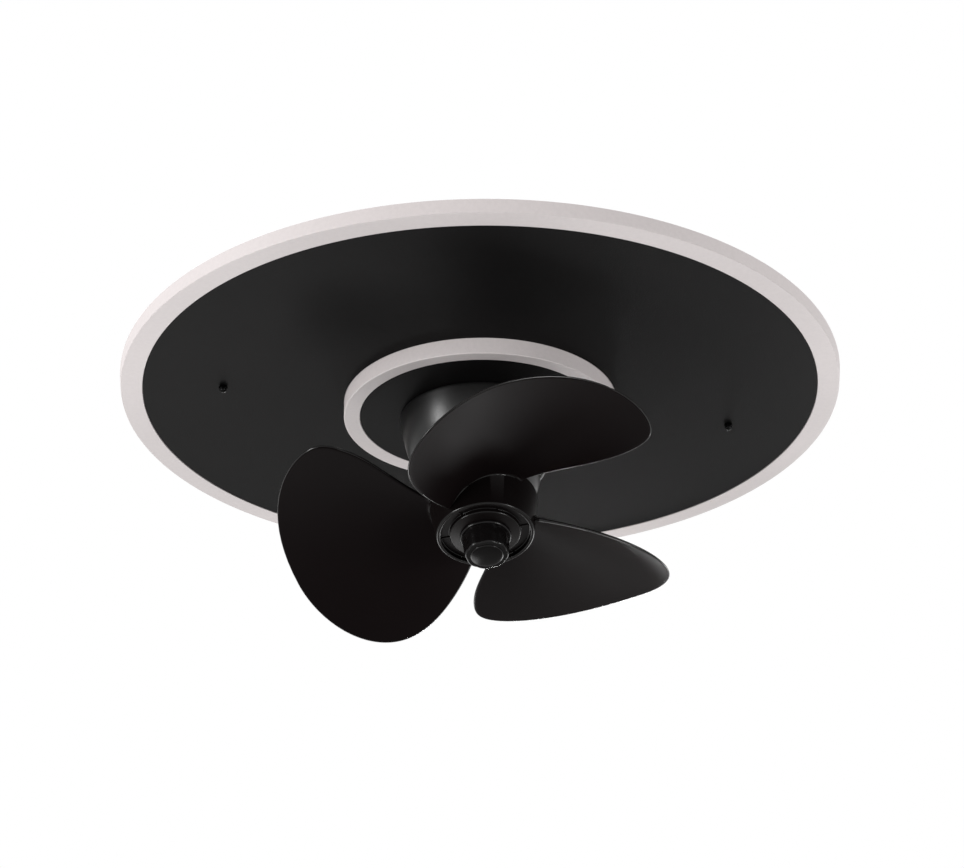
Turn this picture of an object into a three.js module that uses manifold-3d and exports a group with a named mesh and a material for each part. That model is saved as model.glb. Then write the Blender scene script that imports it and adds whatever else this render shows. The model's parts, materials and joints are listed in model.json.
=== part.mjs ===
// Ceiling light with a swivelling, tilting fan head. Millimetres, +Z up.
// The origin is the middle of the bracket face that lies against the ceiling, and all the rest hangs below.
// The fan head is drawn in its own frame, with Z along the airflow from the tilt axis to the lock knob.

import * as THREE from 'three';
import { mergeVertices } from 'three/addons/utils/BufferGeometryUtils.js';
import Module from 'manifold-3d';

const wasm = await Module();
wasm.setup();

const DEGREE = Math.PI / 180;

// ---- Driving dimensions ----

// Fits
const CLEARANCE = 0.3; // between pieces that seat on or in each other
const WASHER_THICKNESS = 1;

// Ceiling bracket
const BRACKET_LENGTH = 160;
const BRACKET_WIDTH = 26;
const BRACKET_THICKNESS = 2;
const BRACKET_SLOT_LENGTH = 22;
const BRACKET_SLOT_WIDTH = 5;
const BRACKET_SLOT_SPACING = 84;
const BRACKET_SCREW_SPACING = 130;
const BRACKET_SCREW_RADIUS = 2;

// Machine screws
const SCREW_HEAD_RATIO = 1.9; // head radius over thread radius
const SCREW_HEAD_HEIGHT = 1.6;
const SCREW_HEAD_CROWN = 0.4; // height of the head's chamfer over the head's own
const SCREW_CROWN_RATIO = 0.7; // radius of the head's flat top over the head's own

// Base pan
const PAN_DEPTH = 22.7; // ceiling to the top edge of the light
const PAN_SHEET = 0.8;
const PAN_WALL_DRAFT = 5;
const PAN_STUD_MARGIN = 9; // stud to the foot of the pan's wall
const CABLE_HOLE_RADIUS = 9;
const CABLE_HOLE_MARGIN = 4; // cable hole to the pieces on either side of it

// Outer light ring
const RIM_RADIUS = 250;
const RIM_HEIGHT = 9;
const RIM_DRAFT = 1; // how far the side leans in towards the face
const RIM_BAND = 16; // white band seen round the outer cover
const DIFFUSER_WALL = 2;
const DIFFUSER_LIP = 12; // hidden lip that rests on the cover's back
const COVER_THICKNESS = 1;

// Inner light ring
const INNER_RIM_RADIUS = 95;
const INNER_BAND = 10.6;
const INNER_STEP = 10.4; // outer cover face to inner cover face
const INNER_FLANGE = 8;

// LED boards
const LED_BOARD_THICKNESS = 1.2;
const LED_BOARD_MARGIN = 6;
const LED_SIZE = 3.5;
const LED_HEIGHT = 0.8;
const OUTER_LED_COUNT = 20;
const INNER_LED_COUNT = 10;
const INNER_LED_BOARD_WIDTH = 26;

// Cap nuts and their studs
const NUT_INSET = 54.7; // edge of the outer cover to the nut's middle
const NUT_ACROSS_FLATS = 5.5;
const NUT_HEX_HEIGHT = 2.4;
const NUT_DOME_HEIGHT = 2.6;
const NUT_DOME_INSET = 0.2;
const STUD_THREAD_RADIUS = 1.3;
const STUD_BODY_RADIUS = 3;
const STUD_ENGAGEMENT = 3.4;

// Electrical boxes under the pan
const DRIVER_SIZE = new THREE.Vector3(78, 38, 20);
const DRIVER_AZIMUTH = 145;
const CONTROLLER_SIZE = new THREE.Vector3(64, 42, 16);
const CONTROLLER_AZIMUTH = 240;
const BOX_RING_GAP = 14; // support cup to the boxes
const BOX_EAR = 7;
const BOX_SCREW_RADIUS = 1.6;
const TERMINAL_POLES = 3;
const TERMINAL_PITCH = 9;
const TERMINAL_DEPTH = 17;
const TERMINAL_HEIGHT = 14;
const TERMINAL_WIRE_RADIUS = 2;

// Support cup that carries the fan head
const CUP_RADIUS = 46;
const CUP_FLANGE = 12;
const CUP_SHEET = 1.5;
const CUP_LEAD_HOLE_RADIUS = 5;

// Swivel post
const POST_RADIUS = 9;
const POST_BORE_RADIUS = 6;
const POST_FLANGE_WIDTH = 13;
const POST_FLANGE_THICKNESS = 3;
const POST_SCREW_COUNT = 3;
const POST_SCREW_RADIUS = 1.5;
const POST_NUT_HEIGHT = 5;
const POST_NUT_WALL = 4.5;
const POST_END = 1.5; // thread that shows past the nut
const WASHER_MARGIN = 2; // upper washer inside the post's flange
const STOP_LENGTH = 5;
const STOP_HALF_ANGLE = 4;

// Drum
const DRUM_GAP = 1; // running gap under the inner cover
const DRUM_TOP_RADIUS = 55.8;
const DRUM_HEIGHT = 40.6; // top edge to the mouth, where the tilt axis lies
const DRUM_BULGE = 1.6; // how far the side bows out of a straight taper
const DRUM_WALL = 2.2;
const DRUM_WEB = 2.5;
const DRUM_LIP_RADIUS = 2;
const DRUM_MOUTH_CLEARANCE = 1.2;

// Tilt yoke and pivots
const YOKE_THICKNESS = 2;
const YOKE_WIDTH = 16;
const YOKE_SCREW_RADIUS = 1.5;
const PIVOT_RADIUS = 2.5;
const PIVOT_HEAD_RADIUS = 4;
const PIVOT_HEAD_LENGTH = 1.5;
const PIVOT_BOSS_RADIUS = 6;
const PIVOT_BOSS_LENGTH = 6.9;
const PIVOT_END_COVER = 2; // boss left past the pivot's end
const REST_TILT = 15; // degrees from straight down, towards -Y

// Ball housing
const BALL_RADIUS = 41.3;
const BALL_WALL = 2;
const BALL_FRONT_CUT = 2.3; // depth of the flat on its front
const BALL_BACK = 15; // tilt axis to its open back

// Motor
const MOTOR_SIDE_GAP = 1.2; // can to the pivot heads
const MOTOR_CAN_WALL = 1.2;
const MOTOR_END_THICKNESS = 2;
const MOTOR_NECK_RADIUS = 13;
const MOTOR_BACK = 3.3; // tilt axis to the back of the end cap
const MOTOR_SCREW_COUNT = 3;
const MOTOR_SCREW_RADIUS = 1.3;
const BEARING_WALL = 7;
const BEARING_LENGTH = 6;
const BEARING_BOSS_WALL = 1.7;
const BEARING_RACE = 1.6;
const BEARING_SHIELD_DEPTH = 0.6;
const STATOR_END_GAP = 2;
const STATOR_TEETH = 9;
const STATOR_YOKE_WIDTH = 4;
const STATOR_TOOTH_WIDTH = 3;
const COIL_WIDTH = 6;
const COIL_OVERHANG = 2;
const COIL_END_GAP = 1;
const ROTOR_RADIUS = 12.6;
const AIR_GAP = 0.5;
const SHAFT_RADIUS = 4;
const SHAFT_TAIL = 2.4; // shaft past the end cap
const CIRCLIP_THICKNESS = 0.8;
const CIRCLIP_WIDTH = 2;
const CIRCLIP_GROOVE_DEPTH = 0.7;
const CIRCLIP_MOUTH_ANGLE = 35; // each side of its opening

// Propeller hub
const HUB_REACH = 17; // front of the ball to the face of the hub
const HUB_LENGTH = 29.7;
const HUB_TAPER = 4;
const HUB_WALL = 2.2;
const HUB_BALL_CLEARANCE = 3.6;
const HUB_RIM_PROUD = 0.5;
const HUB_RIM_WIDTH = 2.7;
const HUB_GROOVE_WIDTH = 6.5;
const HUB_GROOVE_DEPTH = 3;
const HUB_GROOVE_RIBS = 6;
const HUB_RIB_WIDTH = 1.2;
const HUB_RIB_HEIGHT = 1;
const HUB_RIB_ANGLE = 20;
const HUB_WEB = 2.4;
const HUB_CONE_RISE = 1.2; // the face rises towards the knob
const HUB_BOSS_WALL = 6;
const HUB_BOSS_LENGTH = 11;
const DRIVE_PIN_RADIUS = 1.5;

// Blades, as angles round the hub and heights behind its face
const BLADE_COUNT = 3;
const BLADE_TIP_RADIUS = 140.5;
const BLADE_TIP_ANGLE = 93.2;
const BLADE_LEAD_ANGLE = 56.1; // leading edge at the hub
const BLADE_LEAD_SWEEP = 20.2; // how far the leading edge swings forward
const BLADE_LEAD_SWEEP_RADIUS = 104.3;
const BLADE_LEAD_CORNER = 40.4; // radial depth of the rounded corner at the tip
const BLADE_LEAD_SQUARENESS = 8.1;
const BLADE_TRAIL_ANGLE = 145.7; // trailing edge at the hub
const BLADE_TRAIL_SWEEP = 22.9; // how far the trailing edge leans by the tip
const BLADE_TRAIL_CORNER = 87.2;
const BLADE_TRAIL_SQUARENESS = 4.1;
const BLADE_ROOT_SETBACK = 25.7; // leading edge behind the hub face, at the hub
const BLADE_TIP_SETBACK = 28.4; // the same at the tip
const BLADE_ROOT_DROP = 21.5; // leading to trailing edge along the axis, at the hub
const BLADE_TIP_DROP = 59.1; // the same at the tip
const BLADE_CAMBER = 2.5; // power that bends the drop towards the trailing edge
const BLADE_ROOT_THICKNESS = 2.4;
const BLADE_TIP_THICKNESS = 1.6;

// Lock knob
const KNOB_FLANGE_RADIUS = 17.4;
const KNOB_FLANGE_HEIGHT = 2;
const KNOB_BACK_RADIUS = 16.2;
const KNOB_FRONT_RADIUS = 14.8;
const KNOB_LENGTH = 16.6;
const KNOB_DOME_RADIUS = 11.1;
const KNOB_DOME_HEIGHT = 1.6;
const KNOB_EDGE = 0.8; // chamfer of the flange and the front
const KNOB_LOBES = 8;
const KNOB_LOBE_SHARE = 0.63; // radius of a lobe over the knob's own
const KNOB_LOBE_ANGLE = 4.4; // first lobe round from the keyed blade
const KNOB_THREAD_DEPTH = 12;

// Fineness of round pieces
const DISC_SEGMENTS = 48;
const INNER_DISC_SEGMENTS = 28;
const ROUND_SEGMENTS = 24;
const MOTOR_SEGMENTS = 16;
const SMALL_SEGMENTS = 8;
const LOBE_SEGMENTS = 5;
const END_SEGMENTS = 6; // half-round ends of slots and straps
const ARC_STEPS = 4; // arcs of an outline
const BLADE_RADIAL_STEPS = 9;
const BLADE_CHORD_STEPS = 7;

// Booleans
const MERGE_DISTANCE = 1e-4;
const OVERRUN = 1; // how far a cutting tool passes the face that it opens

// ---- Heights and radii that follow from them ----

const panTopZ = -BRACKET_THICKNESS - CLEARANCE;
const panUnderZ = panTopZ - PAN_SHEET;
const rimTopZ = -PAN_DEPTH;
const coverZ = rimTopZ - RIM_HEIGHT;
const coverBackZ = coverZ + COVER_THICKNESS;
const innerZ = coverZ - INNER_STEP;
const innerBackZ = innerZ + COVER_THICKNESS;

const coverRadius = RIM_RADIUS - RIM_BAND;
const nutRadius = coverRadius - NUT_INSET;
const panRadius = RIM_RADIUS - DIFFUSER_WALL - CLEARANCE;
const panWallRadius = nutRadius + STUD_BODY_RADIUS + PAN_STUD_MARGIN;
const innerCoverRadius = INNER_RIM_RADIUS - INNER_BAND;
const cableHoleY = CUP_RADIUS + CUP_FLANGE + CABLE_HOLE_MARGIN + CABLE_HOLE_RADIUS;
const innerFlangeRadius = INNER_RIM_RADIUS + INNER_FLANGE;
const innerFlangeTopZ = coverBackZ + CLEARANCE + DIFFUSER_WALL;
const trayUnderZ = innerFlangeTopZ + CLEARANCE;

const postTopZ = innerZ - CLEARANCE;
const postFlangeUnderZ = postTopZ - POST_FLANGE_THICKNESS;
const postFlangeRadius = POST_RADIUS + POST_FLANGE_WIDTH;
const postScrewRadius = POST_RADIUS + POST_FLANGE_WIDTH / 2;
const upperWasherZ = postFlangeUnderZ - CLEARANCE;
const stopRadius = postFlangeRadius + STOP_LENGTH;
const drumTopZ = innerZ - DRUM_GAP;
const drumWebTopZ = upperWasherZ - WASHER_THICKNESS - CLEARANCE;
const yokeTopZ = drumWebTopZ - DRUM_WEB - CLEARANCE;
const yokeUnderZ = yokeTopZ - YOKE_THICKNESS;
const lowerWasherZ = yokeUnderZ - CLEARANCE;
const postNutTopZ = lowerWasherZ - WASHER_THICKNESS - CLEARANCE;
const postEndZ = postNutTopZ - POST_NUT_HEIGHT - POST_END;
const postBoreFit = POST_RADIUS + CLEARANCE;
const pivotZ = drumTopZ - DRUM_HEIGHT;

const ballInnerRadius = BALL_RADIUS - BALL_WALL;
const ballFront = BALL_RADIUS - BALL_FRONT_CUT;
const bossEndX = ballInnerRadius - PIVOT_BOSS_LENGTH;
const yokeOuterX = bossEndX - 2 * CLEARANCE - WASHER_THICKNESS;
const yokeInnerX = yokeOuterX - YOKE_THICKNESS;
const pivotHeadX = yokeInnerX - CLEARANCE - PIVOT_HEAD_LENGTH;
const motorRadius = pivotHeadX - MOTOR_SIDE_GAP;
const bearingRadius = SHAFT_RADIUS + BEARING_WALL;
const bearingBossRadius = bearingRadius + CLEARANCE + BEARING_BOSS_WALL;
const motorShoulder = Math.sqrt(ballInnerRadius ** 2 - motorRadius ** 2) - 2 * CLEARANCE;
const motorFront = ballFront - BALL_WALL - CLEARANCE;
const motorCapFront = MOTOR_END_THICKNESS - MOTOR_BACK;
const frontBearingEnd = motorShoulder - MOTOR_END_THICKNESS - CLEARANCE;
const backBearingStart = motorCapFront + CLEARANCE;

const motorScrewCircle = (SHAFT_RADIUS + MOTOR_NECK_RADIUS) / 2 + CLEARANCE;
const motorScrewAngles = evenAngles(MOTOR_SCREW_COUNT, 30);

const hubFace = ballFront + HUB_REACH;
const hubRimFace = hubFace + HUB_RIM_PROUD;
const hubBack = hubRimFace - HUB_LENGTH;
const ballAtHubBack = Math.sqrt(Math.max(BALL_RADIUS ** 2 - hubBack ** 2, 0));
const hubBackRadius = ballAtHubBack + HUB_BALL_CLEARANCE + HUB_WALL;
const hubFrontRadius = hubBackRadius - HUB_TAPER;
const grooveOuterRadius = hubFrontRadius - HUB_RIM_WIDTH;
const grooveInnerRadius = grooveOuterRadius - HUB_GROOVE_WIDTH;
const grooveFloor = hubFace - HUB_GROOVE_DEPTH;
const hubWebBack = grooveFloor - HUB_WEB;
const hubBossRadius = SHAFT_RADIUS + CLEARANCE + HUB_BOSS_WALL;
const hubBossBack = hubWebBack - HUB_BOSS_LENGTH + HUB_WEB + HUB_GROOVE_DEPTH;
const hubNoseFace = hubFace + HUB_CONE_RISE;
const drivePinAxial = hubBossBack + DRIVE_PIN_RADIUS;
const knobBack = hubNoseFace + CLEARANCE;
const shaftFront = knobBack + KNOB_THREAD_DEPTH - CLEARANCE;
const shaftBack = -MOTOR_BACK - SHAFT_TAIL;

// ---- Materials ----

function material(color, roughness, metalness) {
  return new THREE.MeshStandardMaterial({ color, roughness, metalness });
}

const ACRYLIC = material(0xd6d0d0, 0.55, 0);
const BLACK_PAINT = material(0x1d1c1c, 0.6, 0.1);
const BLACK_SATIN = material(0x1a1919, 0.4, 0.1);
const BLACK_GLOSS = material(0x0d0c0c, 0.2, 0);
const BLADE_PLASTIC = material(0x141212, 0.45, 0);
const ZINC = material(0xa9adb1, 0.4, 0.9);
const WHITE_PAINT = material(0xe4e4e2, 0.5, 0.1);
const LED_WHITE = material(0xf3f1e6, 0.5, 0);
const GREY_PLASTIC = material(0xc9c9c6, 0.6, 0);
const WASHER_NYLON = material(0xe8e4d8, 0.6, 0);
const COPPER = material(0xb46a3c, 0.4, 0.8);
const MAGNET = material(0x3a3b3e, 0.5, 0.4);

// ---- Shape helpers ----

// A closed geometry as a manifold solid, with the zero-area triangles at a lathe's axis left out.
function toSolid(geometry) {
  const bare = geometry.clone();
  bare.deleteAttribute('normal');
  bare.deleteAttribute('uv');
  const merged = mergeVertices(bare, MERGE_DISTANCE);
  const corners = merged.index.array;
  const triangles = [];
  for (let i = 0; i < corners.length; i += 3) {
    const [a, b, c] = [corners[i], corners[i + 1], corners[i + 2]];
    if (a !== b && b !== c && c !== a) triangles.push(a, b, c);
  }
  return new wasm.Manifold(new wasm.Mesh({
    numProp: 3,
    vertProperties: new Float32Array(merged.attributes.position.array),
    triVerts: new Uint32Array(triangles),
  }));
}

function toGeometry(solid) {
  const mesh = solid.getMesh();
  const geometry = new THREE.BufferGeometry();
  geometry.setAttribute('position', new THREE.BufferAttribute(new Float32Array(mesh.vertProperties), 3));
  geometry.setIndex(new THREE.BufferAttribute(new Uint32Array(mesh.triVerts), 1));
  geometry.computeVertexNormals();
  return geometry;
}

function join(...geometries) {
  return toGeometry(geometries.map(toSolid).reduce((whole, piece) => whole.add(piece)));
}

function cut(geometry, ...tools) {
  return toGeometry(tools.map(toSolid).reduce((rest, tool) => rest.subtract(tool), toSolid(geometry)));
}

// Revolves [radius, z] points about Z. Points on the axis at both ends, or any closed loop, give a solid.
function revolve(profile, segments = ROUND_SEGMENTS) {
  const loop = [...profile, profile[0]];
  let area = 0;
  for (let i = 0; i < profile.length; i += 1) {
    area += loop[i][0] * loop[i + 1][1] - loop[i + 1][0] * loop[i][1];
  }
  if (area < 0) loop.reverse();
  const points = loop.map(([radius, z]) => new THREE.Vector2(radius, z));
  return toGeometry(toSolid(new THREE.LatheGeometry(points, segments).rotateX(Math.PI / 2)));
}

function ring(innerRadius, outerRadius, lowZ, highZ, segments = ROUND_SEGMENTS) {
  return revolve([
    [innerRadius, lowZ],
    [outerRadius, lowZ],
    [outerRadius, highZ],
    [innerRadius, highZ],
  ], segments);
}

function cylinder(radius, lowZ, highZ, segments = SMALL_SEGMENTS) {
  return new THREE.CylinderGeometry(radius, radius, highZ - lowZ, segments)
    .rotateX(Math.PI / 2)
    .translate(0, 0, (lowZ + highZ) / 2);
}

function extrude(shape, lowZ, highZ, curveSegments = END_SEGMENTS) {
  return new THREE.ExtrudeGeometry(shape, { depth: highZ - lowZ, bevelEnabled: false, curveSegments })
    .translate(0, 0, lowZ);
}

function block(size, lowZ, highZ) {
  return new THREE.BoxGeometry(size.x, size.y, highZ - lowZ).translate(0, 0, (lowZ + highZ) / 2);
}

function slotShape(length, width) {
  const reach = (length - width) / 2;
  const shape = new THREE.Shape();
  shape.absarc(reach, 0, width / 2, -Math.PI / 2, Math.PI / 2);
  shape.absarc(-reach, 0, width / 2, Math.PI / 2, 1.5 * Math.PI);
  return shape;
}

function hexShape(acrossFlats) {
  const radius = acrossFlats / Math.sqrt(3);
  return new THREE.Shape(evenAngles(6).map((angle) => onCircle(radius, angle)));
}

function onCircle(radius, angle) {
  return new THREE.Vector2(radius * Math.cos(angle * DEGREE), radius * Math.sin(angle * DEGREE));
}

// Copies of a geometry, turned about Z to each of the given angles in degrees.
function around(geometry, angles) {
  return angles.map((angle) => geometry.clone().rotateZ(angle * DEGREE));
}

function evenAngles(count, first = 0) {
  return Array.from({ length: count }, (_, k) => first + (360 * k) / count);
}

// A pan-head machine screw: its head's underside is at z = 0, and it points up.
function screw(threadRadius, length) {
  const headRadius = threadRadius * SCREW_HEAD_RATIO;
  return revolve([
    [0, length],
    [threadRadius, length],
    [threadRadius, 0],
    [headRadius, 0],
    [headRadius, -(1 - SCREW_HEAD_CROWN) * SCREW_HEAD_HEIGHT],
    [SCREW_CROWN_RATIO * headRadius, -SCREW_HEAD_HEIGHT],
    [0, -SCREW_HEAD_HEIGHT],
  ], SMALL_SEGMENTS);
}

// Profile of a dome from just above its foot to its top on the axis. A negative height points it down.
function domeProfile(radius, footZ, height, steps = 4) {
  const points = evenSteps(steps).map((share) => [
    radius * Math.cos((share * Math.PI) / 2),
    footZ + height * Math.sin((share * Math.PI) / 2),
  ]);
  return [...points.slice(1, -1), [0, footZ + height]];
}

// Shares from 0 to 1 in even steps.
function evenSteps(steps) {
  return Array.from({ length: steps + 1 }, (_, k) => k / steps);
}

// The same geometry at x = -distance and x = +distance.
function bothSides(geometry, distance) {
  return [-1, 1].map((side) => geometry.clone().translate(side * distance, 0, 0));
}

const SIDES = [['left', -1], ['right', 1]];

function add(group, name, geometry, look) {
  const mesh = new THREE.Mesh(geometry, look);
  mesh.name = name;
  group.add(mesh);
  return mesh;
}

// ---- Ceiling side ----

function bracketGeometry() {
  const plate = slotShape(BRACKET_LENGTH, BRACKET_WIDTH);
  const strap = extrude(plate, -BRACKET_THICKNESS, 0);
  const underZ = -BRACKET_THICKNESS - OVERRUN;
  const slot = extrude(slotShape(BRACKET_SLOT_LENGTH, BRACKET_SLOT_WIDTH), underZ, OVERRUN);
  const hole = cylinder(BRACKET_SCREW_RADIUS + CLEARANCE, underZ, OVERRUN);
  return cut(
    strap,
    ...bothSides(slot, BRACKET_SLOT_SPACING / 2),
    ...bothSides(hole, BRACKET_SCREW_SPACING / 2),
  );
}

function panGeometry() {
  const topRadius = panWallRadius - PAN_WALL_DRAFT;
  const dish = revolve([
    [0, panTopZ],
    [topRadius, panTopZ],
    [panWallRadius, rimTopZ],
    [panRadius, rimTopZ],
    [panRadius, rimTopZ - PAN_SHEET],
    [panWallRadius - PAN_SHEET, rimTopZ - PAN_SHEET],
    [topRadius - PAN_SHEET, panUnderZ],
    [0, panUnderZ],
  ], DISC_SEGMENTS);
  const holeLowZ = panUnderZ - OVERRUN;
  const holeHighZ = panTopZ + OVERRUN;
  const cableHole = cylinder(CABLE_HOLE_RADIUS, holeLowZ, holeHighZ, MOTOR_SEGMENTS)
    .translate(0, cableHoleY, 0);
  const screwHole = cylinder(BRACKET_SCREW_RADIUS + CLEARANCE, holeLowZ, holeHighZ);
  return cut(dish, cableHole, ...bothSides(screwHole, BRACKET_SCREW_SPACING / 2));
}

// The stepped, shallow tray of opal acrylic: a side wall, the band that shows, and a lip behind the cover.
function diffuserProfile(rimRadius, topZ, faceZ, coverEdge) {
  const rebateRadius = coverEdge + CLEARANCE;
  const lipRadius = coverEdge - DIFFUSER_LIP;
  const rebateZ = faceZ + COVER_THICKNESS + CLEARANCE;
  return [
    [rimRadius, topZ],
    [rimRadius - RIM_DRAFT, faceZ],
    [rebateRadius, faceZ],
    [rebateRadius, rebateZ],
    [lipRadius, rebateZ],
    [lipRadius, rebateZ + DIFFUSER_WALL],
    [rebateRadius + DIFFUSER_WALL, rebateZ + DIFFUSER_WALL],
    [rebateRadius + DIFFUSER_WALL, faceZ + DIFFUSER_WALL],
    [rimRadius - RIM_DRAFT - DIFFUSER_WALL, faceZ + DIFFUSER_WALL],
    [rimRadius - DIFFUSER_WALL, topZ],
  ];
}

function innerDiffuserGeometry() {
  const tray = diffuserProfile(INNER_RIM_RADIUS, innerFlangeTopZ, innerZ, innerCoverRadius);
  const flange = [
    [innerFlangeRadius, innerFlangeTopZ],
    [innerFlangeRadius, innerFlangeTopZ - DIFFUSER_WALL],
    [INNER_RIM_RADIUS, innerFlangeTopZ - DIFFUSER_WALL],
  ];
  return revolve([...flange, ...tray.slice(1)], INNER_DISC_SEGMENTS);
}

function outerCoverGeometry() {
  const plate = ring(INNER_RIM_RADIUS + CLEARANCE, coverRadius, coverZ, coverBackZ, DISC_SEGMENTS);
  const hole = cylinder(STUD_THREAD_RADIUS + CLEARANCE, coverZ - OVERRUN, coverBackZ + OVERRUN);
  return cut(plate, ...bothSides(hole, nutRadius));
}

function innerCoverGeometry() {
  const plate = ring(postBoreFit, innerCoverRadius, innerZ, innerBackZ, INNER_DISC_SEGMENTS);
  return cut(plate, ...around(postScrewHole(), evenAngles(POST_SCREW_COUNT, 90)));
}

// A ring-shaped LED board seen from below, with its LEDs in one circle.
function ledBoardGeometry(innerRadius, outerRadius, topZ, count) {
  const underZ = topZ - LED_BOARD_THICKNESS;
  const board = ring(innerRadius, outerRadius, underZ, topZ, ROUND_SEGMENTS);
  const chipSize = new THREE.Vector2(LED_SIZE, LED_SIZE);
  const chip = block(chipSize, underZ - LED_HEIGHT, underZ + LED_BOARD_THICKNESS / 2)
    .translate((innerRadius + outerRadius) / 2, 0, 0);
  return join(board, ...around(chip, evenAngles(count, 360 / ROUND_SEGMENTS / 2)));
}

function studGeometry() {
  const bodyEndZ = coverBackZ + CLEARANCE;
  return revolve([
    [0, panUnderZ - CLEARANCE],
    [STUD_BODY_RADIUS, panUnderZ - CLEARANCE],
    [STUD_BODY_RADIUS, bodyEndZ],
    [STUD_THREAD_RADIUS, bodyEndZ],
    [STUD_THREAD_RADIUS, coverZ - STUD_ENGAGEMENT],
    [0, coverZ - STUD_ENGAGEMENT],
  ], SMALL_SEGMENTS);
}

function capNutGeometry() {
  const topZ = coverZ - CLEARANCE;
  const shoulderZ = topZ - NUT_HEX_HEIGHT;
  const rootZ = topZ - NUT_HEX_HEIGHT / 2;
  const domeRadius = NUT_ACROSS_FLATS / 2 - NUT_DOME_INSET;
  const dome = domeProfile(domeRadius, shoulderZ, -NUT_DOME_HEIGHT);
  const cap = revolve([[0, rootZ], [domeRadius, rootZ], [domeRadius, shoulderZ], ...dome], SMALL_SEGMENTS);
  const thread = cylinder(
    STUD_THREAD_RADIUS + CLEARANCE, coverZ - STUD_ENGAGEMENT - CLEARANCE, topZ + OVERRUN);
  return cut(join(extrude(hexShape(NUT_ACROSS_FLATS), shoulderZ, topZ), cap), thread);
}

function supportCupGeometry() {
  const topZ = panUnderZ - CLEARANCE;
  const floorZ = innerBackZ + CLEARANCE;
  const cup = revolve([
    [CUP_RADIUS - CUP_SHEET, topZ],
    [CUP_RADIUS + CUP_FLANGE, topZ],
    [CUP_RADIUS + CUP_FLANGE, topZ - CUP_SHEET],
    [CUP_RADIUS, topZ - CUP_SHEET],
    [CUP_RADIUS, floorZ],
    [POST_BORE_RADIUS, floorZ],
    [POST_BORE_RADIUS, floorZ + CUP_SHEET],
    [CUP_RADIUS - CUP_SHEET, floorZ + CUP_SHEET],
  ]);
  const leadHole = cylinder(CUP_LEAD_HOLE_RADIUS, CUP_RADIUS - 2 * CUP_SHEET, CUP_RADIUS + CUP_SHEET)
    .rotateY(Math.PI / 2)
    .rotateZ(CONTROLLER_AZIMUTH * DEGREE)
    .translate(0, 0, (topZ + floorZ) / 2);
  return cut(cup, leadHole, ...around(postScrewHole(), evenAngles(POST_SCREW_COUNT, 90)));
}

function postScrewHole() {
  return cylinder(POST_SCREW_RADIUS + CLEARANCE, postFlangeUnderZ, innerBackZ + 2 * CUP_SHEET)
    .translate(postScrewRadius, 0, 0);
}

// A small electrical case with a fixing ear at each end, hung from the pan.
function caseGeometry(size) {
  const topZ = panUnderZ - CLEARANCE;
  const ears = extrude(slotShape(size.x + 2 * BOX_EAR, 2 * BOX_EAR), topZ - PAN_SHEET, topZ);
  const body = block(size, topZ - size.z, topZ);
  const hole = cylinder(BOX_SCREW_RADIUS, topZ - PAN_SHEET - OVERRUN, topZ + OVERRUN);
  return cut(join(body, ears), ...bothSides(hole, (size.x + BOX_EAR) / 2));
}

function terminalGeometry() {
  const topZ = panUnderZ - CLEARANCE;
  const width = TERMINAL_POLES * TERMINAL_PITCH;
  const body = block(new THREE.Vector2(width, TERMINAL_DEPTH), topZ - TERMINAL_HEIGHT, topZ);
  const wireZ = topZ - TERMINAL_HEIGHT / 2;
  const wireHole = cylinder(TERMINAL_WIRE_RADIUS, -TERMINAL_DEPTH, TERMINAL_DEPTH)
    .rotateX(Math.PI / 2)
    .translate(0, 0, wireZ);
  const screwHole = cylinder(TERMINAL_WIRE_RADIUS, topZ - TERMINAL_HEIGHT - OVERRUN, wireZ);
  const tools = Array.from({ length: TERMINAL_POLES }, (_, k) => {
    const x = (k - (TERMINAL_POLES - 1) / 2) * TERMINAL_PITCH;
    const pole = [0, -TERMINAL_DEPTH / 4, TERMINAL_DEPTH / 4];
    return [wireHole, screwHole, screwHole].map((tool, j) => tool.clone().translate(x, pole[j], 0));
  });
  return cut(body, ...tools.flat());
}

function addCeilingSide(root) {
  add(root, 'ceiling_bracket', bracketGeometry(), ZINC);
  const bracketScrew = screw(BRACKET_SCREW_RADIUS, PAN_SHEET + BRACKET_THICKNESS);
  for (const [name, side] of SIDES) {
    const fixing = add(root, `bracket_screw_${name}`, bracketScrew, ZINC);
    fixing.position.set((side * BRACKET_SCREW_SPACING) / 2, 0, panUnderZ - CLEARANCE);
  }
  add(root, 'base_pan', panGeometry(), WHITE_PAINT);

  const caseRing = CUP_RADIUS + CUP_FLANGE + BOX_RING_GAP;
  const driver = add(root, 'led_driver', caseGeometry(DRIVER_SIZE), GREY_PLASTIC);
  place(driver, DRIVER_AZIMUTH, caseRing + DRIVER_SIZE.y / 2);
  const controller = add(root, 'fan_controller', caseGeometry(CONTROLLER_SIZE), GREY_PLASTIC);
  place(controller, CONTROLLER_AZIMUTH, caseRing + CONTROLLER_SIZE.y / 2);
  const terminal = add(root, 'terminal_block', terminalGeometry(), GREY_PLASTIC);
  place(terminal, 90, cableHoleY + CABLE_HOLE_RADIUS + CABLE_HOLE_MARGIN + TERMINAL_DEPTH / 2);
}

// Turns a piece to face the axis from the given azimuth and moves it out to the given radius.
function place(mesh, azimuth, radius) {
  mesh.rotation.z = (azimuth - 90) * DEGREE;
  mesh.position.set(radius * Math.cos(azimuth * DEGREE), radius * Math.sin(azimuth * DEGREE), 0);
}

// ---- Light ----

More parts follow.
